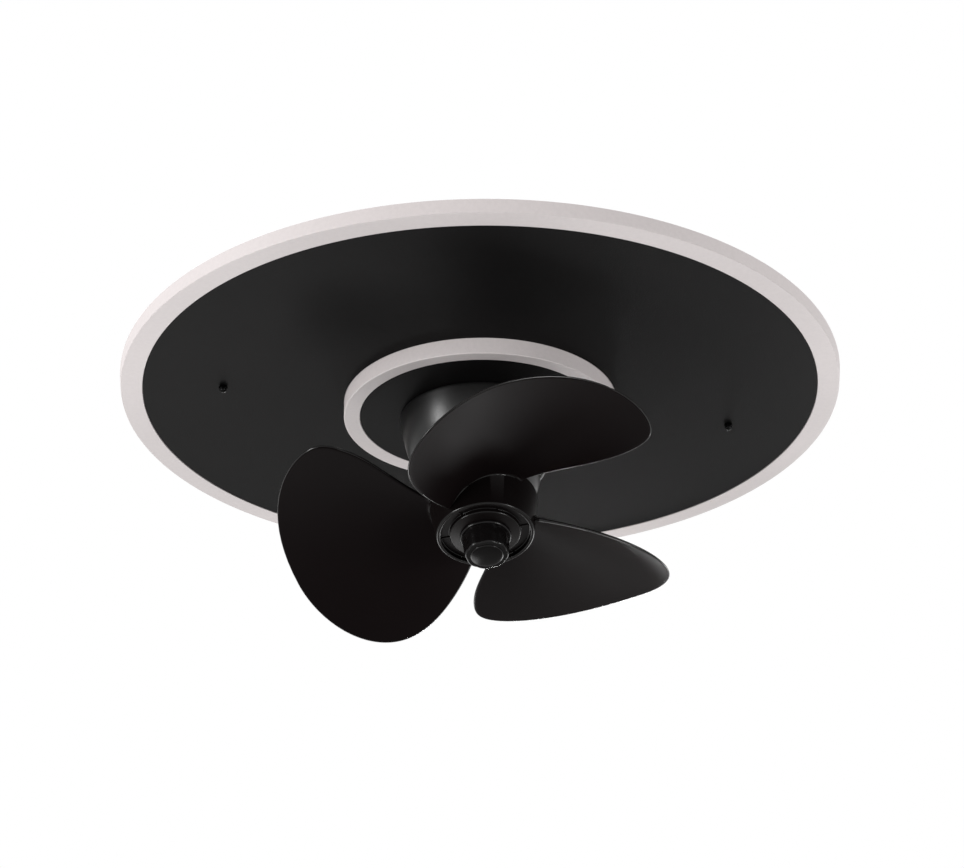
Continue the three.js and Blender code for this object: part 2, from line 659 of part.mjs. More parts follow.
function addLight(root) {
  const outerBoardTop = rimTopZ - PAN_SHEET - CLEARANCE;
  const outerBoard = ledBoardGeometry(
    panWallRadius + LED_BOARD_MARGIN, coverRadius + DIFFUSER_WALL, outerBoardTop, OUTER_LED_COUNT);
  add(root, 'outer_led_board', outerBoard, LED_WHITE);
  const outerProfile = diffuserProfile(RIM_RADIUS, rimTopZ, coverZ, coverRadius);
  add(root, 'outer_diffuser', revolve(outerProfile, DISC_SEGMENTS), ACRYLIC);
  add(root, 'outer_cover', outerCoverGeometry(), BLACK_PAINT);

  for (const [name, side] of SIDES) {
    add(root, `cover_stud_${name}`, studGeometry(), ZINC).position.x = side * nutRadius;
    add(root, `cap_nut_${name}`, capNutGeometry(), BLACK_GLOSS).position.x = side * nutRadius;
  }

  const tray = ring(
    CUP_RADIUS + CLEARANCE, innerFlangeRadius, trayUnderZ, trayUnderZ + PAN_SHEET, INNER_DISC_SEGMENTS);
  add(root, 'inner_tray', tray, WHITE_PAINT);
  const boardRadius = INNER_RIM_RADIUS - DIFFUSER_WALL - LED_BOARD_MARGIN / 2;
  const innerBoard = ledBoardGeometry(
    boardRadius - INNER_LED_BOARD_WIDTH, boardRadius, trayUnderZ - CLEARANCE, INNER_LED_COUNT);
  add(root, 'inner_led_board', innerBoard, LED_WHITE);
  add(root, 'inner_diffuser', innerDiffuserGeometry(), ACRYLIC);
  add(root, 'inner_cover', innerCoverGeometry(), BLACK_PAINT);
}

// ---- Swivel ----

// The fixed hollow post that the drum turns on, with a stop lug on its flange.
function postGeometry() {
  const body = revolve([
    [POST_BORE_RADIUS, postTopZ],
    [postFlangeRadius, postTopZ],
    [postFlangeRadius, postFlangeUnderZ],
    [POST_RADIUS, postFlangeUnderZ],
    [POST_RADIUS, postEndZ],
    [POST_BORE_RADIUS, postEndZ],
  ]);
  const lug = stopSector(postFlangeRadius - OVERRUN, stopRadius, postFlangeUnderZ, postTopZ)
    .rotateZ(Math.PI);
  const headPocket = cylinder(
    SCREW_HEAD_RATIO * POST_SCREW_RADIUS + CLEARANCE,
    postFlangeUnderZ - OVERRUN,
    postFlangeUnderZ + SCREW_HEAD_HEIGHT + CLEARANCE,
  ).translate(postScrewRadius, 0, 0);
  const screwAngles = evenAngles(POST_SCREW_COUNT, 90);
  return cut(join(body, lug), ...around(postScrewHole(), screwAngles), ...around(headPocket, screwAngles));
}

function stopSector(innerRadius, outerRadius, lowZ, highZ) {
  const shape = new THREE.Shape();
  shape.absarc(0, 0, outerRadius, -STOP_HALF_ANGLE * DEGREE, STOP_HALF_ANGLE * DEGREE);
  shape.absarc(0, 0, innerRadius, STOP_HALF_ANGLE * DEGREE, -STOP_HALF_ANGLE * DEGREE, true);
  return extrude(shape, lowZ, highZ, 2);
}

// The drum's outer side, from the top edge down to the start of its rounded lip.
function drumSide(inset) {
  const mouthRadius = BALL_RADIUS + DRUM_MOUTH_CLEARANCE + DRUM_WALL;
  const bottomZ = pivotZ + DRUM_LIP_RADIUS;
  const top = new THREE.Vector2(DRUM_TOP_RADIUS - inset, drumTopZ);
  const bottom = new THREE.Vector2(mouthRadius - inset, bottomZ);
  const middle = new THREE.Vector2((top.x + bottom.x) / 2 + 2 * DRUM_BULGE, bottomZ + DRUM_HEIGHT / 3);
  const side = new THREE.QuadraticBezierCurve(top, middle, bottom);
  return side.getPoints(ARC_STEPS).map((point) => point.toArray());
}

function drumGeometry() {
  const outside = drumSide(0);
  const mouthRadius = outside[outside.length - 1][0];
  const lip = evenSteps(3).slice(1).map((share) => [
    mouthRadius - DRUM_LIP_RADIUS * (1 - Math.cos((share * Math.PI) / 2)),
    pivotZ + DRUM_LIP_RADIUS * (1 - Math.sin((share * Math.PI) / 2)),
  ]);
  const inside = drumSide(DRUM_WALL);
  const shell = revolve([...outside, ...lip, [mouthRadius - DRUM_WALL, pivotZ], ...inside.reverse()]);
  const rimRadius = DRUM_TOP_RADIUS - DRUM_WALL / 2;
  const web = ring(postBoreFit, rimRadius, drumWebTopZ - DRUM_WEB, drumWebTopZ);
  const webInside = toSolid(web).subtract(toSolid(drumOutsideCutter()));
  const peg = stopSector(
    postFlangeRadius + 2 * CLEARANCE, stopRadius, drumWebTopZ - DRUM_WEB / 2, postTopZ - CLEARANCE);
  const screwHole = cylinder(YOKE_SCREW_RADIUS + CLEARANCE, yokeTopZ - OVERRUN, drumWebTopZ - DRUM_WEB / 4);
  return cut(join(shell, toGeometry(webInside), peg), ...bothSides(screwHole, yokeScrewX()));
}

// Everything outside the middle of the drum's wall, to trim the web to the taper.
function drumOutsideCutter() {
  const wall = drumSide(DRUM_WALL / 2);
  const far = 2 * DRUM_TOP_RADIUS;
  const last = wall[wall.length - 1];
  return revolve([[wall[0][0], 0], ...wall, [last[0], 2 * pivotZ], [far, 2 * pivotZ], [far, 0]]);
}

function yokeScrewX() {
  return yokeInnerX - SCREW_HEAD_RATIO * YOKE_SCREW_RADIUS - 2 * CLEARANCE;
}

// A strap bent into a U: a web across the post, and two round-ended arms down to the tilt axis.
function yokeGeometry() {
  const armShape = new THREE.Shape();
  const half = YOKE_WIDTH / 2;
  armShape.moveTo(-half, yokeTopZ);
  armShape.lineTo(-half, pivotZ);
  armShape.absarc(0, pivotZ, half, Math.PI, 2 * Math.PI);
  armShape.lineTo(half, yokeTopZ);
  const arm = extrude(armShape, 0, YOKE_THICKNESS).rotateX(Math.PI / 2).rotateZ(Math.PI / 2);
  const arms = [yokeInnerX, -yokeOuterX].map((x) => arm.clone().translate(x, 0, 0));
  const web = block(new THREE.Vector2(2 * yokeOuterX, YOKE_WIDTH), yokeUnderZ, yokeTopZ);
  const bore = cylinder(postBoreFit, yokeUnderZ - OVERRUN, yokeTopZ + OVERRUN, ROUND_SEGMENTS);
  const padRadius = postBoreFit + POST_NUT_WALL;
  const pad = cylinder(padRadius, yokeUnderZ, yokeTopZ, ROUND_SEGMENTS);
  const pivotHole = cylinder(PIVOT_RADIUS + CLEARANCE, -2 * yokeOuterX, 2 * yokeOuterX)
    .rotateY(Math.PI / 2)
    .translate(0, 0, pivotZ);
  const screwHole = cylinder(YOKE_SCREW_RADIUS + CLEARANCE, yokeUnderZ - OVERRUN, yokeTopZ + OVERRUN);
  return cut(join(web, pad, ...arms), bore, pivotHole, ...bothSides(screwHole, yokeScrewX()));
}

function postNutGeometry() {
  const lowZ = postNutTopZ - POST_NUT_HEIGHT;
  const body = extrude(hexShape(2 * (postBoreFit + POST_NUT_WALL)), lowZ, postNutTopZ);
  return cut(body, cylinder(postBoreFit, lowZ - OVERRUN, postNutTopZ + OVERRUN, ROUND_SEGMENTS));
}

function addSwivel(root) {
  add(root, 'support_cup', supportCupGeometry(), ZINC);
  add(root, 'swivel_post', postGeometry(), ZINC);
  const postScrewLength = POST_FLANGE_THICKNESS - SCREW_HEAD_HEIGHT + COVER_THICKNESS + CUP_SHEET;
  const postScrew = screw(POST_SCREW_RADIUS, postScrewLength);
  evenAngles(POST_SCREW_COUNT, 90).forEach((angle, k) => {
    const { x, y } = onCircle(postScrewRadius, angle);
    const fixing = add(root, `post_screw_${k + 1}`, postScrew, ZINC);
    fixing.position.set(x, y, postFlangeUnderZ + SCREW_HEAD_HEIGHT);
  });
  add(root, 'post_nut', postNutGeometry(), ZINC);

  const swivel = new THREE.Group();
  root.add(swivel);
  add(swivel, 'drum_shell', drumGeometry(), BLACK_SATIN);
  const washerRadius = postFlangeRadius - WASHER_MARGIN;
  const upperWasher = ring(postBoreFit, washerRadius, upperWasherZ - WASHER_THICKNESS, upperWasherZ);
  add(swivel, 'upper_washer', upperWasher, WASHER_NYLON);
  add(swivel, 'tilt_yoke', yokeGeometry(), ZINC);
  const lowerWasher = ring(
    postBoreFit, postBoreFit + POST_NUT_WALL, lowerWasherZ - WASHER_THICKNESS, lowerWasherZ);
  add(swivel, 'lower_washer', lowerWasher, WASHER_NYLON);
  const yokeScrew = screw(YOKE_SCREW_RADIUS, CLEARANCE + YOKE_THICKNESS + CLEARANCE + DRUM_WEB / 2);
  for (const [name, side] of SIDES) {
    const fixing = add(swivel, `yoke_screw_${name}`, yokeScrew, ZINC);
    fixing.position.set(side * yokeScrewX(), 0, yokeUnderZ - CLEARANCE);
  }
  return swivel;
}

// ---- Tilting head: ball housing and motor, in the head's own frame ----

function ballGeometry() {
  const back = -BALL_BACK;
  const outer = sphereArc(BALL_RADIUS, back, ballFront);
  const inner = sphereArc(ballInnerRadius, back, ballFront - BALL_WALL);
  const bore = SHAFT_RADIUS + 2 * CLEARANCE;
  const shell = revolve([...outer, [bore, ballFront], [bore, ballFront - BALL_WALL], ...inner.reverse()]);
  const boss = cylinder(PIVOT_BOSS_RADIUS, bossEndX, ballInnerRadius + BALL_WALL / 4, MOTOR_SEGMENTS);
  const pivotHole = cylinder(
    PIVOT_RADIUS + CLEARANCE, bossEndX - OVERRUN, ballInnerRadius - PIVOT_END_COVER / 2);
  const [bosses, pivotHoles] = [boss, pivotHole].map((piece) => (
    [-1, 1].map((side) => piece.clone().rotateY((side * Math.PI) / 2))));
  return cut(join(shell, ...bosses), ...pivotHoles, ...motorScrewHoles());
}

// Points on a sphere's outline from one height along the axis to another.
function sphereArc(radius, from, to) {
  const start = Math.asin(from / radius);
  const end = Math.asin(to / radius);
  return evenSteps(ARC_STEPS + 1).map((share) => {
    const angle = THREE.MathUtils.lerp(start, end, share);
    return [radius * Math.cos(angle), radius * Math.sin(angle)];
  });
}

function motorScrewHoles() {
  const hole = cylinder(MOTOR_SCREW_RADIUS + CLEARANCE, motorShoulder, ballFront + OVERRUN)
    .translate(motorScrewCircle, 0, 0);
  return around(hole, motorScrewAngles);
}

// The motor's can: a closed front with a neck up to the ball, and a boss inside for the front bearing.
function canGeometry() {
  const shaftBore = SHAFT_RADIUS + 2 * CLEARANCE;
  const seat = bearingRadius + CLEARANCE;
  const wallFront = motorShoulder - MOTOR_END_THICKNESS;
  const bossBack = frontBearingEnd - BEARING_LENGTH;
  const can = revolve([
    [shaftBore, motorFront],
    [MOTOR_NECK_RADIUS, motorFront],
    [MOTOR_NECK_RADIUS, motorShoulder],
    [motorRadius, motorShoulder],
    [motorRadius, motorCapFront + CLEARANCE],
    [motorRadius - MOTOR_CAN_WALL, motorCapFront + CLEARANCE],
    [motorRadius - MOTOR_CAN_WALL, wallFront],
    [bearingBossRadius, wallFront],
    [bearingBossRadius, bossBack],
    [seat, bossBack],
    [seat, wallFront],
    [shaftBore, wallFront],
  ], MOTOR_SEGMENTS);
  return cut(can, ...motorScrewHoles());
}

function endCapGeometry() {
  const shaftBore = SHAFT_RADIUS + 2 * CLEARANCE;
  const seat = bearingRadius + CLEARANCE;
  const bossFront = backBearingStart + BEARING_LENGTH;
  return revolve([
    [shaftBore, -MOTOR_BACK],
    [motorRadius, -MOTOR_BACK],
    [motorRadius, motorCapFront],
    [bearingBossRadius, motorCapFront],
    [bearingBossRadius, bossFront],
    [seat, bossFront],
    [seat, motorCapFront],
    [shaftBore, motorCapFront],
  ], MOTOR_SEGMENTS);
}

// A ball bearing as one closed ring, with the groove of its shield in the face towards the propeller.
function bearingGeometry(start) {
  const innerRadius = SHAFT_RADIUS + CLEARANCE;
  const end = start + BEARING_LENGTH;
  const shield = end - BEARING_SHIELD_DEPTH;
  return revolve([
    [innerRadius, start],
    [bearingRadius, start],
    [bearingRadius, end],
    [bearingRadius - BEARING_RACE, end],
    [bearingRadius - BEARING_RACE, shield],
    [innerRadius + BEARING_RACE, shield],
    [innerRadius + BEARING_RACE, end],
    [innerRadius, end],
  ], MOTOR_SEGMENTS);
}

// Laminated ring with teeth that point at the rotor, and a coil round each tooth.
function statorGeometry(lowZ, highZ) {
  const outerRadius = motorRadius - MOTOR_CAN_WALL - CLEARANCE;
  const boreRadius = Math.max(ROTOR_RADIUS + AIR_GAP, bearingBossRadius + CLEARANCE);
  const yokeRadius = outerRadius - STATOR_YOKE_WIDTH;
  const yoke = ring(yokeRadius, outerRadius, lowZ + COIL_OVERHANG, highZ - COIL_OVERHANG, MOTOR_SEGMENTS);
  const toothSize = new THREE.Vector2(yokeRadius - boreRadius + STATOR_YOKE_WIDTH / 2, STATOR_TOOTH_WIDTH);
  const tooth = block(toothSize, lowZ + COIL_OVERHANG, highZ - COIL_OVERHANG)
    .translate(boreRadius + toothSize.x / 2, 0, 0);
  const coilSize = new THREE.Vector2(yokeRadius - boreRadius - 2 * COIL_END_GAP, COIL_WIDTH);
  const coil = block(coilSize, lowZ, highZ)
    .translate(boreRadius + COIL_END_GAP + coilSize.x / 2, 0, 0);
  const angles = evenAngles(STATOR_TEETH, 360 / STATOR_TEETH / 2);
  return join(yoke, ...around(tooth, angles), ...around(coil, angles));
}

function addHead(swivel) {
  const head = new THREE.Group();
  head.position.set(0, 0, pivotZ);
  head.rotation.x = (180 - REST_TILT) * DEGREE;
  swivel.add(head);

  add(head, 'ball_housing', ballGeometry(), BLACK_SATIN);
  const pivotLength = ballInnerRadius - PIVOT_END_COVER - yokeInnerX + CLEARANCE;
  const pivot = revolve([
    [0, 0],
    [PIVOT_HEAD_RADIUS, 0],
    [PIVOT_HEAD_RADIUS, PIVOT_HEAD_LENGTH],
    [PIVOT_RADIUS, PIVOT_HEAD_LENGTH],
    [PIVOT_RADIUS, PIVOT_HEAD_LENGTH + pivotLength],
    [0, PIVOT_HEAD_LENGTH + pivotLength],
  ], SMALL_SEGMENTS);
  const washer = ring(PIVOT_RADIUS + CLEARANCE, PIVOT_BOSS_RADIUS, 0, WASHER_THICKNESS, MOTOR_SEGMENTS);
  for (const [name, side] of SIDES) {
    const pin = add(head, `tilt_pivot_${name}`, pivot, ZINC);
    pin.rotation.y = (side * Math.PI) / 2;
    pin.position.x = side * pivotHeadX;
    const spacer = add(head, `tilt_washer_${name}`, washer, WASHER_NYLON);
    spacer.rotation.y = (side * Math.PI) / 2;
    spacer.position.x = side * (yokeOuterX + CLEARANCE);
  }

  add(head, 'motor_can', canGeometry(), ZINC);
  add(head, 'motor_end_cap', endCapGeometry(), ZINC);
  add(head, 'front_bearing', bearingGeometry(frontBearingEnd - BEARING_LENGTH), ZINC);
  add(head, 'back_bearing', bearingGeometry(backBearingStart), ZINC);
  const statorBack = motorCapFront + STATOR_END_GAP;
  const statorFront = motorShoulder - MOTOR_END_THICKNESS - STATOR_END_GAP;
  add(head, 'motor_stator', statorGeometry(statorBack, statorFront), COPPER);
  const motorScrew = screw(MOTOR_SCREW_RADIUS, ballFront - motorShoulder).rotateX(Math.PI);
  motorScrewAngles.forEach((angle, k) => {
    const { x, y } = onCircle(motorScrewCircle, angle);
    const fixing = add(head, `motor_screw_${k + 1}`, motorScrew, ZINC);
    fixing.position.set(x, y, ballFront + CLEARANCE);
  });
  return head;
}

// ---- Spinning parts: shaft, rotor, propeller and lock knob ----

function shaftGeometry() {
  const grooveRadius = SHAFT_RADIUS - CIRCLIP_GROOVE_DEPTH;
  const grooveFront = -MOTOR_BACK - CLEARANCE;
  const grooveBack = grooveFront - CIRCLIP_THICKNESS - 2 * CLEARANCE;
  const rod = revolve([
    [0, shaftBack],
    [SHAFT_RADIUS, shaftBack],
    [SHAFT_RADIUS, grooveBack],
    [grooveRadius, grooveBack],
    [grooveRadius, grooveFront],
    [SHAFT_RADIUS, grooveFront],
    [SHAFT_RADIUS, shaftFront],
    [0, shaftFront],
  ], MOTOR_SEGMENTS);
  const pinHole = cylinder(DRIVE_PIN_RADIUS + CLEARANCE, -2 * SHAFT_RADIUS, 2 * SHAFT_RADIUS)
    .rotateX(Math.PI / 2)
    .translate(0, 0, drivePinAxial);
  return cut(rod, pinHole);
}

function circlipGeometry() {
  const innerRadius = SHAFT_RADIUS - CIRCLIP_GROOVE_DEPTH + CLEARANCE;
  const outerRadius = SHAFT_RADIUS + CIRCLIP_WIDTH;
  const mouth = CIRCLIP_MOUTH_ANGLE * DEGREE;
  const shape = new THREE.Shape();
  shape.absarc(0, 0, outerRadius, mouth, 2 * Math.PI - mouth);
  shape.absarc(0, 0, innerRadius, 2 * Math.PI - mouth, mouth, true);
  const front = -MOTOR_BACK - 2 * CLEARANCE;
  return extrude(shape, front - CIRCLIP_THICKNESS, front, SMALL_SEGMENTS);
}

// Leading and trailing edge of a blade at a radius, as angles in degrees round the hub.
function bladeEdges(radius) {
  const span = BLADE_TIP_RADIUS - hubFrontRadius;
  const along = (radius - hubFrontRadius) / span;
  const swing = (radius - BLADE_LEAD_SWEEP_RADIUS) / (hubFrontRadius - BLADE_LEAD_SWEEP_RADIUS);
  const lead = BLADE_LEAD_ANGLE - BLADE_LEAD_SWEEP * (1 - swing ** 2);
  const trail = BLADE_TRAIL_ANGLE - BLADE_TRAIL_SWEEP * along;
  return {
    lead: towardsTip(lead, radius, BLADE_LEAD_CORNER, BLADE_LEAD_SQUARENESS),
    trail: towardsTip(trail, radius, BLADE_TRAIL_CORNER, BLADE_TRAIL_SQUARENESS),
    chordStart: lead,
    chord: trail - lead,
  };
}

// Rounds an edge over to the tip's angle within the last stretch of the blade, as a superellipse.
function towardsTip(angle, radius, corner, squareness) {
  const into = THREE.MathUtils.clamp((radius - BLADE_TIP_RADIUS + corner) / corner, 0, 1);
  const turned = 1 - Math.sqrt(1 - into ** squareness);
  return angle + (BLADE_TIP_ANGLE - angle) * turned;
}

// Height of the blade's middle surface along the fan axis.
function bladeAxial(radius, angle) {
  const { chordStart, chord } = bladeEdges(radius);
  const along = (radius - hubFrontRadius) / (BLADE_TIP_RADIUS - hubFrontRadius);
  const drop = THREE.MathUtils.lerp(BLADE_ROOT_DROP, BLADE_TIP_DROP, along);
  const share = Math.max((angle - chordStart) / chord, 0);
  const setback = THREE.MathUtils.lerp(BLADE_ROOT_SETBACK, BLADE_TIP_SETBACK, along ** 2);
  return hubFace - setback + drop * share ** BLADE_CAMBER;
}

// A grid of points on one face of a blade, in rows from the root to the tip, where the rows crowd.
function bladeSide(side) {
  const rootRadius = hubFrontRadius - HUB_WALL;
  return evenSteps(BLADE_RADIAL_STEPS).map((share) => {
    const along = Math.sin((share * Math.PI) / 2);
    const radius = THREE.MathUtils.lerp(rootRadius, BLADE_TIP_RADIUS, along);
    const { lead, trail } = bladeEdges(radius);
    const half = THREE.MathUtils.lerp(BLADE_ROOT_THICKNESS, BLADE_TIP_THICKNESS, along) / 2;
    return evenSteps(BLADE_CHORD_STEPS).map((across) => {
      const angle = THREE.MathUtils.lerp(lead, trail, across);
      const { x, y } = onCircle(radius, angle);
      return new THREE.Vector3(x, y, bladeAxial(radius, angle) + side * half);
    });
  });
}

// A closed skin between two matching grids of points, the first below the second.
function skinGeometry(lower, upper) {
  const rows = lower.length;
  const columns = lower[0].length;
  const lastI = rows - 1;
  const lastJ = columns - 1;
  const position = [...lower.flat(), ...upper.flat()].flatMap((point) => point.toArray());
  const index = [];
  const at = (layer, i, j) => layer * rows * columns + i * columns + j;
  const quad = (a, b, c, d) => index.push(a, b, c, a, c, d);
  for (let i = 0; i + 1 < rows; i += 1) {
    for (let j = 0; j + 1 < columns; j += 1) {
      quad(at(1, i, j), at(1, i + 1, j), at(1, i + 1, j + 1), at(1, i, j + 1));
      quad(at(0, i, j), at(0, i, j + 1), at(0, i + 1, j + 1), at(0, i + 1, j));
    }
    quad(at(0, i, 0), at(0, i + 1, 0), at(1, i + 1, 0), at(1, i, 0));
    quad(at(1, i, lastJ), at(1, i + 1, lastJ), at(0, i + 1, lastJ), at(0, i, lastJ));
  }
  for (let j = 0; j + 1 < columns; j += 1) {
    quad(at(1, 0, j), at(1, 0, j + 1), at(0, 0, j + 1), at(0, 0, j));
    quad(at(0, lastI, j), at(0, lastI, j + 1), at(1, lastI, j + 1), at(1, lastI, j));
  }
  const geometry = new THREE.BufferGeometry();
  geometry.setAttribute('position', new THREE.Float32BufferAttribute(position, 3));
  geometry.setIndex(index);
  return geometry;
}

function bladeGeometry() {
  return skinGeometry(bladeSide(-1), bladeSide(1));
}

// The moulded propeller: a cup-shaped hub with a grooved face and a keyed boss, and its blades.
function propellerGeometry() {
  const barrel = revolve([
    [0, hubBack],
    [hubBackRadius, hubBack],
    [hubFrontRadius, hubRimFace],
    [grooveOuterRadius, hubRimFace],
    [grooveOuterRadius, grooveFloor],
    [grooveInnerRadius, grooveFloor],
    [grooveInnerRadius, hubFace],
    [KNOB_FLANGE_RADIUS, hubNoseFace],
    [0, hubNoseFace],
  ]);
  const hollow = revolve([
    [hubBossRadius, hubWebBack],
    [hubBossRadius, hubBack - OVERRUN],
    [hubBackRadius - HUB_WALL, hubBack - OVERRUN],
    [hubFrontRadius - HUB_WALL, hubWebBack],
  ]);
  const bossCut = cylinder(hubBossRadius + OVERRUN, hubBack - 2 * OVERRUN, hubBossBack, ROUND_SEGMENTS);
  const bore = cylinder(
    SHAFT_RADIUS + CLEARANCE, hubBack - 2 * OVERRUN, hubNoseFace + OVERRUN, MOTOR_SEGMENTS);
  const keyWidth = 2 * (DRIVE_PIN_RADIUS + CLEARANCE);
  const keySize = new THREE.Vector2(keyWidth, 4 * hubBossRadius);
  const keySlot = block(keySize, hubBossBack - OVERRUN, hubBossBack + keyWidth);
  const ribSize = new THREE.Vector2(HUB_GROOVE_WIDTH + OVERRUN, HUB_RIB_WIDTH);
  const rib = block(ribSize, grooveFloor - HUB_WEB / 2, grooveFloor + HUB_RIB_HEIGHT)
    .translate((grooveInnerRadius + grooveOuterRadius) / 2, 0, 0);
  const blades = around(bladeGeometry(), evenAngles(BLADE_COUNT));
  const moulding = join(barrel, ...blades, ...around(rib, evenAngles(HUB_GROOVE_RIBS, HUB_RIB_ANGLE)));
  return cut(moulding, hollow, bossCut, bore, keySlot);
}

// Outline of the knob's grip: a ring of round lobes with a shallow groove between each two.
function lobedShape(radius) {
  const lobeRadius = KNOB_LOBE_SHARE * radius;
  const offset = radius - lobeRadius;
  const halfPitch = Math.PI / KNOB_LOBES;
  const halfArc = halfPitch + Math.asin((offset * Math.sin(halfPitch)) / lobeRadius);
  const shape = new THREE.Shape();
  evenAngles(KNOB_LOBES, KNOB_LOBE_ANGLE).forEach((angle) => {
    const turned = angle * DEGREE;
    const middle = onCircle(offset, angle);
    shape.absarc(middle.x, middle.y, lobeRadius, turned - halfArc, turned + halfArc);
  });
  return shape;
}

// The grip between two heights: it narrows evenly to the front, where its edge is chamfered.
function gripGeometry(backZ, frontZ) {
  const grip = new THREE.ExtrudeGeometry(lobedShape(KNOB_BACK_RADIUS), {
    depth: frontZ - backZ - KNOB_EDGE,
    curveSegments: LOBE_SEGMENTS,
    bevelThickness: KNOB_EDGE,
    bevelSize: KNOB_EDGE,
    bevelOffset: -KNOB_EDGE,
    bevelSegments: 1,
  }).translate(0, 0, backZ);
  const points = grip.attributes.position;
  for (let i = 0; i < points.count; i += 1) {
    const along = (points.getZ(i) - backZ) / (frontZ - backZ);
    const scale = THREE.MathUtils.lerp(1, KNOB_FRONT_RADIUS / KNOB_BACK_RADIUS, along);
    points.setXY(i, scale * points.getX(i), scale * points.getY(i));
  }
  return grip;
}

// The lobed knob with a flange and a domed end that locks the propeller on the shaft.
function knobGeometry() {
  const front = knobBack + KNOB_LENGTH;
  const flangeFront = knobBack + KNOB_FLANGE_HEIGHT;
  const flange = revolve([
    [0, knobBack],
    [KNOB_FLANGE_RADIUS, knobBack],
    [KNOB_FLANGE_RADIUS, flangeFront - KNOB_EDGE],
    [KNOB_FLANGE_RADIUS - KNOB_EDGE, flangeFront],
    [0, flangeFront],
  ]);
  const dome = revolve([
    [0, front - KNOB_EDGE],
    [KNOB_DOME_RADIUS, front - KNOB_EDGE],
    [KNOB_DOME_RADIUS, front],
    ...domeProfile(KNOB_DOME_RADIUS, front, KNOB_DOME_HEIGHT),
  ]);
  const thread = cylinder(
    SHAFT_RADIUS + CLEARANCE, knobBack - OVERRUN, knobBack + KNOB_THREAD_DEPTH, MOTOR_SEGMENTS);
  const grip = gripGeometry(flangeFront - KNOB_EDGE / 2, front);
  return cut(join(flange, grip, dome), thread);
}

function addFan(head) {
  const fan = new THREE.Group();
  head.add(fan);
  add(fan, 'motor_shaft', shaftGeometry(), ZINC);
  add(fan, 'shaft_circlip', circlipGeometry(), ZINC);
  const rotorBack = backBearingStart + BEARING_LENGTH + 2 * CLEARANCE;
  const rotorFront = frontBearingEnd - BEARING_LENGTH - 2 * CLEARANCE;
  const rotor = ring(SHAFT_RADIUS + CLEARANCE, ROTOR_RADIUS, rotorBack, rotorFront, MOTOR_SEGMENTS);
  add(fan, 'motor_rotor', rotor, MAGNET);
  const pinReach = hubBossRadius - CLEARANCE;
  const pin = cylinder(DRIVE_PIN_RADIUS, -pinReach, pinReach)
    .rotateX(Math.PI / 2)
    .translate(0, 0, drivePinAxial);
  add(fan, 'drive_pin', pin, ZINC);
  add(fan, 'propeller', propellerGeometry(), BLADE_PLASTIC);
  add(fan, 'lock_knob', knobGeometry(), BLACK_GLOSS);
}

// ---- Assembly ----

const ceilingFan = new THREE.Group();
addCeilingSide(ceilingFan);
addLight(ceilingFan);
addFan(addHead(addSwivel(ceilingFan)));

export default ceilingFan;
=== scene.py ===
import json
import math

import bmesh
import bpy
from mathutils import Matrix, Vector


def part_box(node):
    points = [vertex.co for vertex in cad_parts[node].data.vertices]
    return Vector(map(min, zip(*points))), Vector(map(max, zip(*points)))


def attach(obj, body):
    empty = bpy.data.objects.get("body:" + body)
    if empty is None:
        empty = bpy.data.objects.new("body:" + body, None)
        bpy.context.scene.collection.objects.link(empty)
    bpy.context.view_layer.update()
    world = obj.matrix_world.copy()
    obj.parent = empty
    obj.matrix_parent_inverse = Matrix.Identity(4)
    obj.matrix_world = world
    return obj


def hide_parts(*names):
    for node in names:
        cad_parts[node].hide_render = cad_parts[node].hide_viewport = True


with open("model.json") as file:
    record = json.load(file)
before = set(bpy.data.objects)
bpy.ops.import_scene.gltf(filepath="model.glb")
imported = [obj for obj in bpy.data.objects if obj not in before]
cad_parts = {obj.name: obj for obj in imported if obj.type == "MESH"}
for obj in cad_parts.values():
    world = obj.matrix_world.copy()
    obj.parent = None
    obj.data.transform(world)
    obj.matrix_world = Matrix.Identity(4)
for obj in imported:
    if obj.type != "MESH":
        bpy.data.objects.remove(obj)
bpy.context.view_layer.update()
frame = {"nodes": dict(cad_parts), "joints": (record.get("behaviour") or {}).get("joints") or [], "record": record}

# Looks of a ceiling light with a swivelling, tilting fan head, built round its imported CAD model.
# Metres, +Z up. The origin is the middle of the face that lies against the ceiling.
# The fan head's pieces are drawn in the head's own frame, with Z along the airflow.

# ---- Sizes that the CAD boxes give ----

RIM_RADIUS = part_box("outer_diffuser")[1].y
RIM_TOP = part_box("outer_diffuser")[1].z
COVER_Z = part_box("outer_diffuser")[0].z
COVER_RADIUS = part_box("outer_cover")[1].y
COVER_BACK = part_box("outer_cover")[1].z
INNER_COVER_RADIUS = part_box("inner_cover")[1].y
INNER_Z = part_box("inner_cover")[0].z
INNER_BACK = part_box("inner_cover")[1].z
INNER_FLANGE_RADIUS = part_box("inner_diffuser")[1].y
INNER_FLANGE_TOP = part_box("inner_diffuser")[1].z
PAN_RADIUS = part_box("base_pan")[1].y
PAN_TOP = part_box("base_pan")[1].z
PAN_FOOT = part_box("base_pan")[0].z
DRUM_TOP_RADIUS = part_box("drum_shell")[1].y
NUT_X = sum(corner.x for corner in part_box("cap_nut_right")) / 2

JOINTS = {joint["name"]: joint for joint in frame["joints"]}
PIVOT = Vector(JOINTS["head_tilt"]["pos_m"])
AIRFLOW = Vector(JOINTS["fan_spin"]["axis"]).normalized()

# ---- Sizes that repeat the CAD's own ----

CLEARANCE = 0.0003
RIM_DRAFT = 0.001
PAN_SHEET = 0.0008
PAN_WALL_FOOT = 0.1917
PAN_WALL_DRAFT = 0.005
CABLE_HOLE_RADIUS = 0.009
CABLE_HOLE_Y = 0.071
PAN_SCREW_X = 0.065
PAN_SCREW_HOLE = 0.0023

